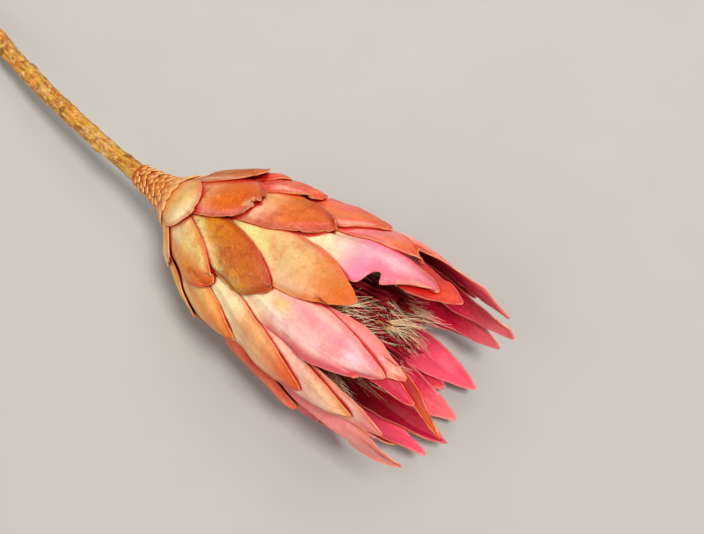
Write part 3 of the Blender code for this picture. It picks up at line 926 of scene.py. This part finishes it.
def lipOf(paint, side, v):
    # a bit of the tip rolled back on itself: how high it stands, and how far it comes back
    where, height = paint["lip"]
    start, over = bractForm["rollFrom"]
    length = bractForm["rollLength"]
    roll = hill(side, where, bractForm["rollWidth"]) * rampFrom(v, start, over)
    raised = height * roll * np.sin(np.clip((v - start) / length, 0, 1) * bractForm["rollTurn"])
    back = bractForm["rollBack"] * height * roll * ramp((v - start - length / 2) / (length / 2))
    return raised, back


def makeBlade(index):
    form = bractForm
    bract = bracts[index]
    paint = bract.paint
    chance = np.random.default_rng(100 + index)
    blade = gridOf(form["across"], paint["rows"])
    flat = readPoints(blade)
    crowding = form["sideCrowding"]
    side = (1 - crowding) * flat[:, 0] + crowding * np.sin(flat[:, 0] * math.pi / 2)
    reach = 1 - (1 - (flat[:, 1] + 1) / 2) ** form["tipCrowding"]
    root, rootRadius = rootOf(index)
    up = root + (bract.tip - root) * reach
    v = bract.along(up)
    half = marginsOf(bract, side, up, v, chance)
    tear = sum(height * np.sin(side * half * pace + start * index) for pace, height, start in form["tears"])
    up = up + form["tornDepth"] * paint["torn"] * (tear - form["tornMiddle"]) * v ** form["tornHold"]

    # where it lies on the head, and how far from its margin and from what lies over it each place is
    around = roundRadius(up)
    azimuth = bract.middle(up) + np.degrees(side * half / around)
    tuck = tuckOf(index, up, azimuth)
    edge = (1 - np.abs(side)) * half / bract.slanting(v)
    edge = np.minimum(edge, np.maximum(bract.tip - up, 0) * 0.8)
    offs = standOffs(up, azimuth)
    press = pressOf(index, offs, up, azimuth, around, edge) * paint["pressed"]
    radius = radiusAt(offs[index], up, azimuth)
    places = headPlaces(up, radius, azimuth)
    lumps, free = reliefOf(index, side, up, v, half, places, chance)
    raised, back = lipOf(paint, side, v)
    up = up - back
    radius = radius + (lumps - press) * rampFrom(up, *form["lumpsFrom"])
    radius = radius + (free + raised) * rampFrom(tuck, *form["openFrom"])
    radius = np.minimum(radius, floorRadius(up, azimuth))
    radius = np.minimum(radius, rootRadius + form["rootSlope"] * (up - root))
    writePoints(blade, headPlaces(up, radius, azimuth) * mm)

    # what the material reads
    line = np.linspace(root, bract.tip, 120)
    covered = line[tuckOf(index, line, bract.middle(line)) < 0]
    start = covered[-1] if len(covered) else root
    shown = bract.tip - start
    bared = np.clip((up - start) / shown, 0, 1)
    count = len(up)
    noteColour(blade, "flush", flushOf(paint, bared, shown, side, half, places))
    stainTone, stained = paint["stain"]
    noteColour(blade, "stain", tone(stainTone))
    evenly = {"stained": stained, "specked": paint["specks"], "rimmed": paint["rim"], "paintedLight": paint["paintedLight"]}
    for name, amount in evenly.items():
        note(blade, name, amount)
    start, over = form["mouthFrom"]
    # lighter towards the mouth; a low lining light keeps a lining in painted shade
    note(blade, "mouth", np.clip((up - start) / over, 0, 1) * paint["liningLight"])
    note(blade, "edge", edge)
    note(blade, "tuck", tuck / paint["shadedSeam"])
    shift = np.full(count, form["patternShift"] * index)
    note(blade, "bladePlace", np.column_stack([side * half, up, shift]))
    thicken(blade, form["thickness"])
    solid = readPoints(blade)
    note(blade, "inside", np.arange(len(solid)) >= count)
    solid[:, 2] = np.maximum(solid[:, 2], 0)
    writePoints(blade, solid)
    return blade


# How each ring is lined inside, deep down, further out and at the tips, and how rough it is
ringSkins = {
    "outer_bracts": ("rust", "tan", "paleGold", 0.4),
    "middle_bracts": ("wine", "rose", "coral", 0.32),
    "inner_bracts": ("wine", "garnet", "pink", 0.32),
}


bractLook = {
    # the patterns: how each is squashed along the blade, how fine, how detailed and how rough it is
    "grain": {
        "blotch": (1.0, 0.2, 5.0, 0.62),
        "mottle": (1.0, 1.1, 5.0, 0.6),
        "veins": (0.07, 1.5, 3.0, 0.6),
        "fibres": (0.05, 5.0, 2.0, 0.6),
        "flecks": (1.0, 2.6, 2.0, 0.6),
        "specks": (1.0, 1.9, 2.0, 0.5),
        "speckled": (1.0, 0.3, 2.0, 0.5),
        "patchy": (1.0, 0.35, 2.0, 0.5),
    },
    # where each begins and where it is full, then how much of it there is before and after
    "bands": {
        "blotch": (0.46, 0.66),
        "veins": (0.5, 0.72, 0.0, 0.2),
        "paleFlecks": (0.5, 0.7, 0.0, 0.34),
        "darkFlecks": (0.32, 0.46, 0.4, 0.0),
        "specks": (0.66, 0.73),
        "speckled": (0.42, 0.6),
        "ruddy": (0.2, 1.7, 0.5, 0.0),
        "rim": (0.02, 0.2, 0.7, 0.0),
        "patchy": (0.36, 0.6, 0.15, 1.0),
        "shadedSeam": (-0.1, 1.4, 0.96, 0.0),
        "liningMiddle": (0.3, 0.9),
        "liningTip": (0.65, 1.0, 0.0, 0.5),
        "liningPaintedLight": (0.4, 0.8),
        "liningRim": (0.1, 0.7, 0.6, 0.0),
        "innerFace": (0.86, 0.99),
        "wallBegins": (0.02, 0.12),
        "wallEnds": (0.8, 0.97, 1.0, 0.0),
    },
    "gloss": {"Specular IOR Level": 0.35, "Coat Weight": 0.08, "Coat Roughness": 0.3},
    "depth": 0.11,
}


def bractSkin(name, ring):
    deep, middle, tip, rough = ringSkins[ring]
    finish = Finish(name)
    grain = finish.grains(finish.place("bladePlace"), 1, bractLook["grain"])
    mottle, veins, fibres = grain["mottle"], grain["veins"], grain["fibres"]
    uneven = mottle - 0.5
    stain = finish.colour("stain")
    stained, rimmed = finish.value("stained"), finish.value("rimmed")
    edge, mouth, inside = finish.value("edge"), finish.value("mouth"), finish.value("inside")

    def showing(kind, signal):
        return finish.band(signal, *bractLook["bands"][kind])

    # outside
    blotch = showing("blotch", grain["blotch"])
    specks = showing("specks", grain["specks"]) * showing("speckled", grain["speckled"])
    rim = showing("rim", edge + uneven * 0.4) * rimmed * showing("patchy", grain["patchy"])
    colour = finish.layered(finish.colour("flush"), [
        (blotch * stained * 0.7, stain),
        (showing("veins", veins), stain),
        (showing("paleFlecks", grain["flecks"]) * stained, shade("tan")),
        (showing("darkFlecks", grain["flecks"]) * stained, stain),
        (specks * finish.value("specked"), shade("umber")),
    ])
    colour = finish.scaled(colour, mottle * 0.36 + fibres * 0.14 + 0.74)
    colour = finish.layered(colour, [
        (showing("ruddy", edge + uneven * 0.9), stain),
        (rim, shade("peach")),
        # the dark red seam beside the margin over it: partly the bract's own colour, partly painted shade
        (showing("shadedSeam", finish.value("tuck") + uneven * 0.5), shade("shadedSeam")),
    ])

    # inside, and the thin wall between
    lining = finish.layered(shade(deep), [
        (showing("liningMiddle", mouth + uneven * 0.3), shade(middle)),
        (showing("liningTip", mouth + uneven * 0.25), shade(tip)),
        # painted light on the lining, where the bract asks for it
        (finish.value("paintedLight") * showing("liningPaintedLight", mouth), shade("paintedLightPink")),
    ])
    lining = finish.scaled(lining, fibres * 0.7 + veins * 0.5 + 0.5)
    lining = finish.mix(showing("liningRim", edge), lining, shade(tip))
    wall = showing("wallBegins", inside) * showing("wallEnds", inside)
    colour = finish.layered(colour, [
        (showing("innerFace", inside), lining),
        (wall * rimmed * 0.35, shade("apricot")),
    ])

    for socket, amount in bractLook["gloss"].items():
        finish.feed(finish.shader.inputs[socket], amount)
    roughness = mottle * 0.2 + blotch * 0.1 + rough
    height = veins * 0.7 + fibres * 0.3 + mottle * 0.5 - specks * 0.25
    return finish.paint(colour, roughness, height, bractLook["depth"])


print("Bracts: laying them over the head")
for ring in ringNodes:
    blades = [makeBlade(index) for index, bract in enumerate(bracts) if bract.ring == ring]
    core = sliceCore(ring)
    noteColour(core, "flush", tone("tan"))
    note(core, "tuck", 9.0)
    piece = joined("fine_" + ring, blades + [core])
    settle(piece, ring, bractSkin("skin_of_" + ring, ring), angle=38)


# Neck scales

neckScales = {
    # how many, where their tips reach, half-width, length, how far the tips stand off
    "rings": [
        (8, -7.8, 1.15, 2.4, 0.35), (8, -6.6, 1.2, 2.6, 0.4), (9, -5.4, 1.2, 2.7, 0.42),
        (9, -4.2, 1.3, 2.8, 0.42), (10, -3.0, 1.35, 2.9, 0.42), (10, -1.8, 1.45, 3.0, 0.38),
        (11, -0.6, 1.55, 3.1, 0.3), (12, 0.7, 1.7, 3.2, 0.18), (13, 2.0, 1.9, 3.5, 0.0),
        (13, 3.4, 2.3, 4.0, -0.2), (13, 4.8, 2.7, 4.8, -0.42),
    ],
    "thickness": 0.25,
    "across": 10,
    "along": 12,
    "tipCrowding": 1.4,
    # the outline: its share at the root, where it is widest, where it starts to narrow and how bluntly
    "rootShare": 0.75,
    "widest": 0.5,
    "narrowing": 0.4,
    "bluntness": 0.7,
    "leastShare": 0.05,
    # the relief: how deep the root is sunk, how high the keel and how far the margins fall
    "sink": 0.6,
    "keel": 0.4,
    "keelHeight": 1.8,
    "tipRise": 1.2,
    "marginFall": 0.25,
    # how far they stray: round, up, aslant, off the neck and tilted
    "turnSpread": 5,
    "reachSpread": 0.35,
    "twistSpread": 10,
    "standSpread": 0.06,
    "tiltSpread": 0.05,
    # they are warmer from here up, over so much
    "warmFrom": (0.5, 6),
    "warmthSpread": 0.15,
}


def makeScale(azimuth, tip, halfWidth, length, tipStand, chance):
    form = neckScales
    scale = gridOf(form["across"], form["along"])
    flat = readPoints(scale)
    side = flat[:, 0]
    reach = 1 - (1 - (flat[:, 1] + 1) / 2) ** form["tipCrowding"]
    rise = np.sin(np.clip(reach / form["widest"], 0, 1) * math.pi / 2)
    fall = np.clip((reach - form["narrowing"]) / (1 - form["narrowing"]), 0, 1)
    share = form["rootShare"] + (1 - form["rootShare"]) * rise
    share = share * np.maximum(1 - fall**2, 0) ** form["bluntness"]
    half = halfWidth * np.maximum(share, form["leastShare"])
    up = tip - length * (1 - reach)
    around = roundRadius(up)
    twist = form["twistSpread"] * chance.normal() * (reach - 0.5)
    turn = azimuth + np.degrees(side * half / around) + twist / around
    stand = tipStand * reach ** form["tipRise"] - form["sink"] * (1 - reach)
    ridge = np.sin(np.clip(reach, 0, 1) ** form["keelHeight"] * math.pi)
    stand = stand + form["keel"] * (1 - side**2) * ridge - form["marginFall"] * side**2
    stand = stand + chance.uniform(-form["standSpread"], form["standSpread"])
    stand = stand + form["tiltSpread"] * chance.normal() * side
    writePoints(scale, headPlaces(up, around + stand, turn) * mm)
    note(scale, "edge", np.minimum((1 - np.abs(side)) * half, (1 - reach) * length * 0.7))
    note(scale, "reach", reach)
    start, over = form["warmFrom"]
    warmth = np.clip((tip - start) / over, 0, 1) + chance.uniform(-form["warmthSpread"], form["warmthSpread"])
    note(scale, "warmth", warmth)
    shift = np.full(len(up), chance.uniform(0, 900))
    note(scale, "bladePlace", np.column_stack([side * half, up, shift]))
    thicken(scale, form["thickness"])
    return scale


scaleGrain = {
    # how each is squashed along the scale, how fine, how detailed and how rough it is
    "mottle": (1.0, 1.6, 4.0, 0.6),
    "fibres": (0.14, 3.2, 2.0, 0.6),
}


def scaleSkin(name):
    finish = Finish(name)
    grain = finish.grains(finish.place("bladePlace"), 1, scaleGrain)
    mottle, fibres = grain["mottle"], grain["fibres"]
    reach = finish.value("reach")
    edge = finish.value("edge") + (mottle - 0.5) * 0.3
    # a pale rim towards the tip: partly the scale's own pale margin, partly a painted highlight
    rim = finish.band(edge, 0.05, 0.4, 0.85, 0.0) * finish.band(reach, 0.5, 0.7)
    colour = finish.layered(shade("goldBrown"), [
        (finish.value("warmth"), shade("peach")),
        (finish.band(mottle, 0.5, 0.68, 0.0, 0.5), shade("rustOrange")),
        # painted shade at the root, where the scale lies under the scales over it
        (finish.band(reach, 0.42, 0.78, 0.8, 0.0), shade("rust")),
    ])
    colour = finish.scaled(colour, mottle * 0.5 + fibres * 0.3 + 0.58)
    colour = finish.mix(rim, colour, shade("paleGold"))
    return finish.paint(colour, mottle * 0.2 + 0.42, mottle * 0.6 + fibres * 0.6, depth=0.12)


print("Neck: overlapping scales")
scaleChance = np.random.default_rng(4)
scales = []
for ring, (number, tip, halfWidth, length, tipStand) in enumerate(neckScales["rings"]):
    for k in range(number):
        turn = scaleChance.uniform(-neckScales["turnSpread"], neckScales["turnSpread"])
        azimuth = 360 * (k + 0.5 * (ring % 2)) / number + turn
        own = tip + scaleChance.uniform(-1, 1) * neckScales["reachSpread"] * (1 + (tip > 3))
        scales.append(makeScale(azimuth, own, halfWidth, length, tipStand, scaleChance))
scaleCore = sliceCore("basal_scales")
note(scaleCore, "reach", 0)
scalePiece = joined("fine_basal_scales", scales + [scaleCore])
settle(scalePiece, "basal_scales", scaleSkin("neck_scale"), angle=40)


# Florets: a dense brush of dark styles, with pale hairs standing out of it

floretBrush = {
    "styles": 420,
    "base": 30,
    "tip": 72,
    "spread": 15.2,
    "baseShare": 0.42,
    "shoulder": 12,
    "uneven": 3.0,
    "turn": 137.50776,
    "turnSpread": 7,
    "bend": 0.7,
    "width": 0.42,
    "widthSpread": (0.8, 1.25),
    # along a style: where, and what share of its width
    "styleShape": [(0, 0.9), (0.5, 1.0), (0.86, 0.8), (0.94, 1.35), (1.0, 0.5)],
    # the solid heart of the brush: radius, how far up
    "core": [(0, 12.9), (4.0, 12.9), (6.2, 24), (8.4, 34), (8.6, 46), (6.4, 56), (3.0, 60), (0, 61)],
}

hairTufts = {
    "tufts": 84,
    "hairsInTuft": 26,
    "length": (3.5, 9.0),
    "width": 0.075,
    "widthSpread": (0.7, 1.4),
    "hairShape": [(0, 1.0), (1.0, 0.25)],
    # where a tuft stands: share of the brush's spread, how far up, how much lower that is at the outside
    "out": (0.1, 1.15),
    "up": (50, 69),
    "shoulder": 8,
    # how far it leans round and outwards
    "lean": 9,
    "spread": (-1, 2.4),
    # how far a hair strays from its tuft: out, round, up, leaning, outwards, bent
    "strays": (0.03, 4, 2, 5, 0.8, 0.6),
}


def strands(name, template, starts, ends, bends, widths, profile):
    # copies of a unit tube, each from its start to its end with a sideways bend
    unit = readPoints(template)
    z = unit[:, 2]
    run = ends - starts
    length = np.linalg.norm(run, axis=1, keepdims=True)
    along = run / length
    helper = np.where(np.abs(along[:, 2:3]) < 0.9, np.array([[0.0, 0.0, 1.0]]), np.array([[1.0, 0.0, 0.0]]))
    first = np.cross(along, helper)
    first /= np.linalg.norm(first, axis=1, keepdims=True)
    second = np.cross(along, first)
    centre = starts[:, None] + run[:, None] * z[None, :, None]
    centre = centre + bends[:, None] * (z * z)[None, :, None]
    thick = widths[:, None] * np.interp(z, *zip(*profile))[None, :]
    places = centre + first[:, None] * (unit[None, :, 0] * thick)[:, :, None]
    places = places + second[:, None] * (unit[None, :, 1] * thick)[:, :, None]
    piece = copiesOf(name, template, places * mm)
    note(piece, "reach", np.tile(z, len(starts)))
    return piece


def makeStyles():
    form = floretBrush
    chance = np.random.default_rng(3)
    count = form["styles"]
    k = np.arange(count)
    out = np.sqrt((k + 0.5) / count)
    azimuth = k * form["turn"]
    uneven = chance.uniform(-1, 1, count) * form["uneven"]
    reach = form["tip"] - form["shoulder"] * out**2 + uneven
    low = np.full(count, float(form["base"]))
    starts = headPlaces(low, form["baseShare"] * out * form["spread"], azimuth)
    strayed = azimuth + chance.uniform(-form["turnSpread"], form["turnSpread"], count)
    ends = headPlaces(reach, out * form["spread"], strayed)
    bends = chance.normal(size=(count, 3)) * form["bend"]
    widths = form["width"] * chance.uniform(*form["widthSpread"], count)
    return strands("styles", tubeOf(5, 8), starts, ends, bends, widths, form["styleShape"]), chance


def makeHairs(chance):
    form = hairTufts
    tufts = form["tufts"]
    each = form["hairsInTuft"]
    count = tufts * each
    outStray, turnStray, upStray, leanStray, spreadStray, bendStray = form["strays"]
    low, high = form["out"]
    out = np.repeat(np.sqrt(chance.uniform(low, high, tufts)), each) + outStray * chance.normal(size=count)
    azimuth = np.repeat(chance.uniform(0, 360, tufts), each) + turnStray * chance.normal(size=count)
    base = np.repeat(chance.uniform(*form["up"], tufts), each) - form["shoulder"] * out**2
    base = base + chance.uniform(-upStray, upStray, count)
    length = chance.uniform(*form["length"], count)
    starts = headPlaces(base, out * floretBrush["spread"], azimuth)
    lean = np.repeat(chance.normal(size=tufts) * form["lean"], each)
    lean = lean + chance.normal(size=count) * leanStray
    spread = np.repeat(chance.uniform(*form["spread"], tufts), each)
    spread = spread + chance.uniform(-spreadStray, spreadStray, count)
    ends = headPlaces(base + length, out * floretBrush["spread"] + spread, azimuth + lean)
    bends = np.repeat(chance.normal(size=(tufts, 3)), each, axis=0)
    bends = bends + chance.normal(size=(count, 3)) * bendStray
    widths = form["width"] * chance.uniform(*form["widthSpread"], count)
    return strands("hairs", tubeOf(3, 4), starts, ends, bends, widths, form["hairShape"])


def makeFloretCore():
    core = tubeOf(24, 28)
    unit = readPoints(core)
    along = np.linspace(0, 1, len(floretBrush["core"]))
    radius = np.interp(unit[:, 2], along, [p[0] for p in floretBrush["core"]])
    up = np.interp(unit[:, 2], along, [p[1] for p in floretBrush["core"]])
    azimuth = np.degrees(np.arctan2(unit[:, 1], unit[:, 0]))
    writePoints(core, headPlaces(up, radius, azimuth) * mm)
    mergeDoubles(0.00001)
    faceOutwards()
    return core


def floretSkin(name):
    finish = Finish(name)
    place = finish.node("ShaderNodeTexCoord", {}, {}, "Object")
    grain = finish.noise(place, 900.0, 3.0, 0.6)
    reach = finish.value("reach")
    style = finish.mix(finish.band(reach, 0.4, 1.0), shade("deepWine"), shade("wine"))
    style = finish.scaled(style, grain * 2.0 + 0.6)
    hair = finish.mix(finish.band(reach, 0.0, 0.4), shade("tan"), shade("hair"))
    hair = finish.scaled(hair, grain * 0.6 + 0.8)
    colour = finish.mix(finish.value("hairy"), style, hair)
    return finish.paint(colour, grain * 0.2 + 0.6, grain, depth=0.03)


print("Florets: styles and hairs")
styles, hairChance = makeStyles()
note(styles, "hairy", 0)
hairs = makeHairs(hairChance)
note(hairs, "hairy", 1)
floretPiece = joined("fine_florets", [styles, hairs, makeFloretCore()])
settle(floretPiece, "florets", floretSkin("floret_and_hair"), angle=60)


# The stem

stemForm = {
    "radius": 2.25,
    "length": 106,
    "neckGap": 0.3,
    # it leans and then bends aside up to here
    "lean": 0.08,
    "bend": 0.0015,
    "bendEnd": 62,
    "pathPoints": 24,
    "finePoints": 900,
    "around": 56,
    "along": 420,
    # the relief of the bark: how it is squashed, height, size, seed. Knobs only stand out.
    "relief": [((1, 1, 0.12), 0.1, 1.5, 31), ((0.4, 0.4, 1), 0.15, 14, 32), ((1, 1, 0.5), 0.07, 0.9, 33)],
    "knobs": (0.1, 2.2, 34),
    # the end in the neck: how much wider, over how much, and its rounded edge
    "neckSwell": (0.4, 5),
    "neckEdge": (0.6, 0.5),
    # leaf scars: how many, how they wind round, their half-length and half-width, height, and their pit
    "scars": 12,
    "scarTurn": 137.5,
    "scarTurnSpread": 15,
    "scarSize": (1.15, 1.5),
    "scarHeight": 0.62,
    "scarSteepness": 1.2,
    "scarPit": (0.3, 0.45),
    "lowStem": 6,
    # both ends are closed: how far back, share of the radius. The cut one has a rim of bark, paler wood
    # and a sunk pith.
    "neckEnd": [(0, 0), (0, 0.6)],
    "cutEnd": [(-0.02, 0.95), (-0.1, 0.88), (-0.06, 0.6), (-0.12, 0.3), (-0.5, 0.2), (-0.6, 0)],
    "barkShare": 0.9,
    "pithShare": 0.25,
    "pithShade": 0.35,
}


def stemPath(count):
    neckEnd = head["slices"]["basal_scales"][0] - stemForm["neckGap"]
    start = np.array(head["neck"]) + headAxes[2] * neckEnd
    drop = start[2] - stemForm["radius"]
    s = np.linspace(0, stemForm["length"], count)
    t = s / stemForm["length"]
    fall = drop * (3 * t**2 - 2 * t**3) + stemForm["length"] * math.sin(pitch) * (t**3 - 2 * t**2 + t)
    bent = np.minimum(s, stemForm["bendEnd"])
    sideways = stemForm["lean"] * s + stemForm["bend"] * bent * (2 * s - bent)
    return start + np.column_stack([-s, sideways, -fall])


def scarPlaces():
    # each scar's place, and the ways along the stem and out of it there
    points = [Vector(p) for p in stemPath(stemForm["pathPoints"])]
    chance = random.Random(5)
    places = []
    for k in range(stemForm["scars"]):
        at = int((k + 0.7) * (len(points) - 1) / (stemForm["scars"] + 0.7))
        along = (points[at] - points[at + 1]).normalized()
        spread = chance.uniform(-stemForm["scarTurnSpread"], stemForm["scarTurnSpread"])
        azimuth = math.radians(k * stemForm["scarTurn"] + spread)
        across = along.orthogonal().normalized()
        out = across * math.cos(azimuth) + along.cross(across) * math.sin(azimuth)
        if points[at].z < stemForm["lowStem"] and out.z < 0.3:
            out = Vector((out.x, out.y, abs(out.z) + 0.6)).normalized()
        places.append((np.array(points[at] + out * stemForm["radius"]), np.array(along), np.array(out)))
    return places


def makeStem():
    form = stemForm
    rows = [(back, share, 0) for back, share in form["neckEnd"]]
    rows += [(s, 1, 0) for s in np.linspace(0, form["length"], form["along"] + 1)]
    rows += [(form["length"] + back, share, share < form["barkShare"]) for back, share in form["cutEnd"]]
    rows = np.array(rows, float)
    stem = tubeOf(form["around"], len(rows) - 1)
    unit = readPoints(stem)
    s, share, cut = rows[np.round(unit[:, 2] * (len(rows) - 1)).astype(int)].T

    # its middle line and the way out of it at each point
    fine = stemPath(form["finePoints"])
    tangents = np.gradient(fine, axis=0)
    tangents /= np.linalg.norm(tangents, axis=1, keepdims=True)
    last = form["finePoints"] - 1
    at = s / form["length"] * last
    centre = np.column_stack([np.interp(at, np.arange(last + 1), fine[:, i]) for i in range(3)])
    tangent = tangents[np.round(at).astype(int)]
    across = np.cross(tangent, (0, 0, 1.0))
    across /= np.linalg.norm(across, axis=1, keepdims=True)
    over = np.cross(across, tangent)
    turn = np.arctan2(unit[:, 1], unit[:, 0])
    outward = across * np.cos(turn)[:, None] + over * np.sin(turn)[:, None]

    # bark, the end in the neck and leaf scars
    barkPlace = np.column_stack([form["radius"] * np.cos(turn), form["radius"] * np.sin(turn), s])
    radius = np.full(len(s), form["radius"])
    for squash, *look in form["relief"]:
        radius = radius + wobble(barkPlace * squash, *look)
    radius = radius + np.maximum(wobble(barkPlace, *form["knobs"]), 0)
    swell, reach = form["neckSwell"]
    radius = radius + swell * np.exp(-s / reach)
    drop, reach = form["neckEdge"]
    radius = radius - drop * np.exp(-s / reach)
    scar = np.zeros(len(s))
    halfLength, halfWidth = form["scarSize"]
    pit, pitWidth = form["scarPit"]
    for place, along, out in scarPlaces():
        gap = centre + outward * form["radius"] - place
        lengthways = gap @ along
        sideways = np.linalg.norm(gap - np.outer(lengthways, along), axis=1)
        distance = np.hypot(lengthways / halfLength, sideways / halfWidth)
        knob = form["scarHeight"] * np.exp(-(distance**2) * form["scarSteepness"])
        radius = radius + knob - pit * hill(distance, 0, pitWidth)
        scar = np.maximum(scar, hill(distance, 0, 1))
    points = centre + outward * (radius * share)[:, None]
    points[:, 2] = np.maximum(points[:, 2], 0)
    writePoints(stem, points * mm)
    note(stem, "scar", scar * (share == 1))
    note(stem, "cut", cut * np.where(share > form["pithShare"], 1, form["pithShade"]))
    note(stem, "barkPlace", barkPlace * np.column_stack([share, share, np.ones(len(s))]))
    mergeDoubles(0.000001)
    faceOutwards()
    return stem


barkGrain = {
    # how each is squashed along the stem, how fine, how detailed and how rough it is
    "fibres": (0.16, 1.5, 4.0, 0.65),
    "flakes": (0.6, 0.62, 5.0, 0.68),
    "crusts": (0.7, 0.9, 3.0, 0.6),
    "dust": (1.0, 3.2, 4.0, 0.6),
    "patches": (1.0, 0.14, 2.0, 0.5),
}


def barkSkin(name):
    finish = Finish(name)
    grain = finish.grains(finish.place("barkPlace"), 2, barkGrain)
    fibres, flakes, dust, patches = grain["fibres"], grain["flakes"], grain["dust"], grain["patches"]
    scar = finish.value("scar")
    colour = finish.layered(shade("bark"), [
        (finish.band(fibres, 0.38, 0.58), shade("straw")),
        (finish.band(patches, 0.5, 0.62, 0.0, 0.45), shade("apricot")),
        (finish.band(patches, 0.36, 0.46, 0.35, 0.0), shade("wood")),
        (finish.band(grain["crusts"], 0.52, 0.64, 0.0, 0.75), shade("paleGold")),
        (finish.band(flakes, 0.53, 0.63, 0.0, 0.75), shade("rust")),
        (finish.band(dust, 0.56, 0.7, 0.0, 0.5), shade("butter")),
        (finish.band(scar, 0.4, 0.85) * finish.band(scar, 0.9, 0.98, 0.8, 0.2), shade("umber")),
        (finish.value("cut"), finish.scaled(shade("wood")[:3], dust * 0.6 + 0.6)),
    ])
    return finish.paint(colour, dust * 0.2 + 0.5, fibres * 0.8 + flakes * 0.7 + dust * 0.3, depth=0.6)


print("Stem: bark, leaf scars and the cut end")
stemPiece = makeStem()
stemPiece.name = "fine_stem"
settle(stemPiece, "stem", barkSkin("stem_bark"), angle=50)


# The floor, the light and the camera, which looks from the side that shows

view = {
    "swing": 36.7,
    "elevation": 70,
    "lens": 60,
    "distance": 280,
    # what it looks at: how far up the head, and aside
    "upHead": 49,
    "aside": 10.8,
}

lamps = {
    # towards the right, towards the top and towards the camera, in millimetres; kind; size; power; tint
    "key": ((110, 100, 460), "SUN", math.radians(14), 2.3, (1.0, 0.96, 0.9)),
    "fill": ((-320, -40, 330), "SUN", math.radians(50), 0.7, (1.0, 0.98, 0.96)),
    "near": ((40, 330, 330), "AREA", 0.3, 0.6, (1.0, 0.98, 0.95)),
}

# The floor is flat, then curves up into a wall all round. In metres.
studio = {
    "floorReach": 3.4,
    "flatFor": 1.3,
    "wallHeight": 1.5,
    "floorTones": ((0.46, 0.45, 0.43, 1), (0.50, 0.49, 0.47, 1)),
    "skyTint": (0.97, 0.98, 1.0, 1),
    "skyPower": 0.22,
}

print("Studio: floor, lights and camera")
swing = math.radians(view["swing"])
elevation = math.radians(view["elevation"])
right = Vector((math.cos(swing), math.sin(swing), 0))
ground = Vector((-math.sin(swing), math.cos(swing), 0))
back = Vector((0, 0, math.sin(elevation))) - ground * math.cos(elevation)
above = back.cross(right)
target = Vector(head["neck"]) + Vector(headAxes[2]) * view["upHead"] + Vector((0, view["aside"], 0))

floor = tubeOf(96, 32)
floorPoints = readPoints(floor)
out = studio["floorReach"] * floorPoints[:, 2]
climb = ramp((out - studio["flatFor"]) / (studio["floorReach"] - studio["flatFor"]))
rise = studio["wallHeight"] * climb**1.5
writePoints(floor, np.column_stack([floorPoints[:, 0] * out, floorPoints[:, 1] * out, rise]))
mergeDoubles(0.0001)
bpy.ops.object.shade_smooth()
floor.name = "floor"
floorPaint = Finish("pale_floor")
floorPlace = floorPaint.node("ShaderNodeTexCoord", {}, {}, "Object")
floorNoise = floorPaint.noise(floorPlace, 40.0, 4.0, 0.55)
floorTone = floorPaint.mix(floorNoise, *studio["floorTones"])
floor.data.materials.append(floorPaint.paint(floorTone, 0.8, floorNoise, depth=0.02))

for name, ((across, higher, nearer), kind, size, power, tint) in lamps.items():
    place = (target + right * across + above * higher + back * nearer) * mm
    bpy.ops.object.light_add(type=kind, location=place)
    lamp = active()
    lamp.name = name
    lamp.rotation_euler = (place - target * mm).to_track_quat("Z", "Y").to_euler()
    if kind == "SUN":
        lamp.data.angle = size
    else:
        lamp.data.size = size
    lamp.data.energy = power
    lamp.data.color = tint

world = bpy.data.worlds.new("studio")
bpy.context.scene.world = world
world.use_nodes = True
world.node_tree.nodes["Background"].inputs["Color"].default_value = studio["skyTint"]
world.node_tree.nodes["Background"].inputs["Strength"].default_value = studio["skyPower"]

bpy.ops.object.camera_add(location=(target + back * view["distance"]) * mm)
camera = active()
camera.rotation_euler = Matrix((right, above, back)).transposed().to_euler()
camera.data.lens = view["lens"]
camera.data.sensor_width = 36
camera.data.clip_start = 0.001
bpy.context.scene.camera = camera
bpy.context.scene.view_settings.view_transform = "Standard"
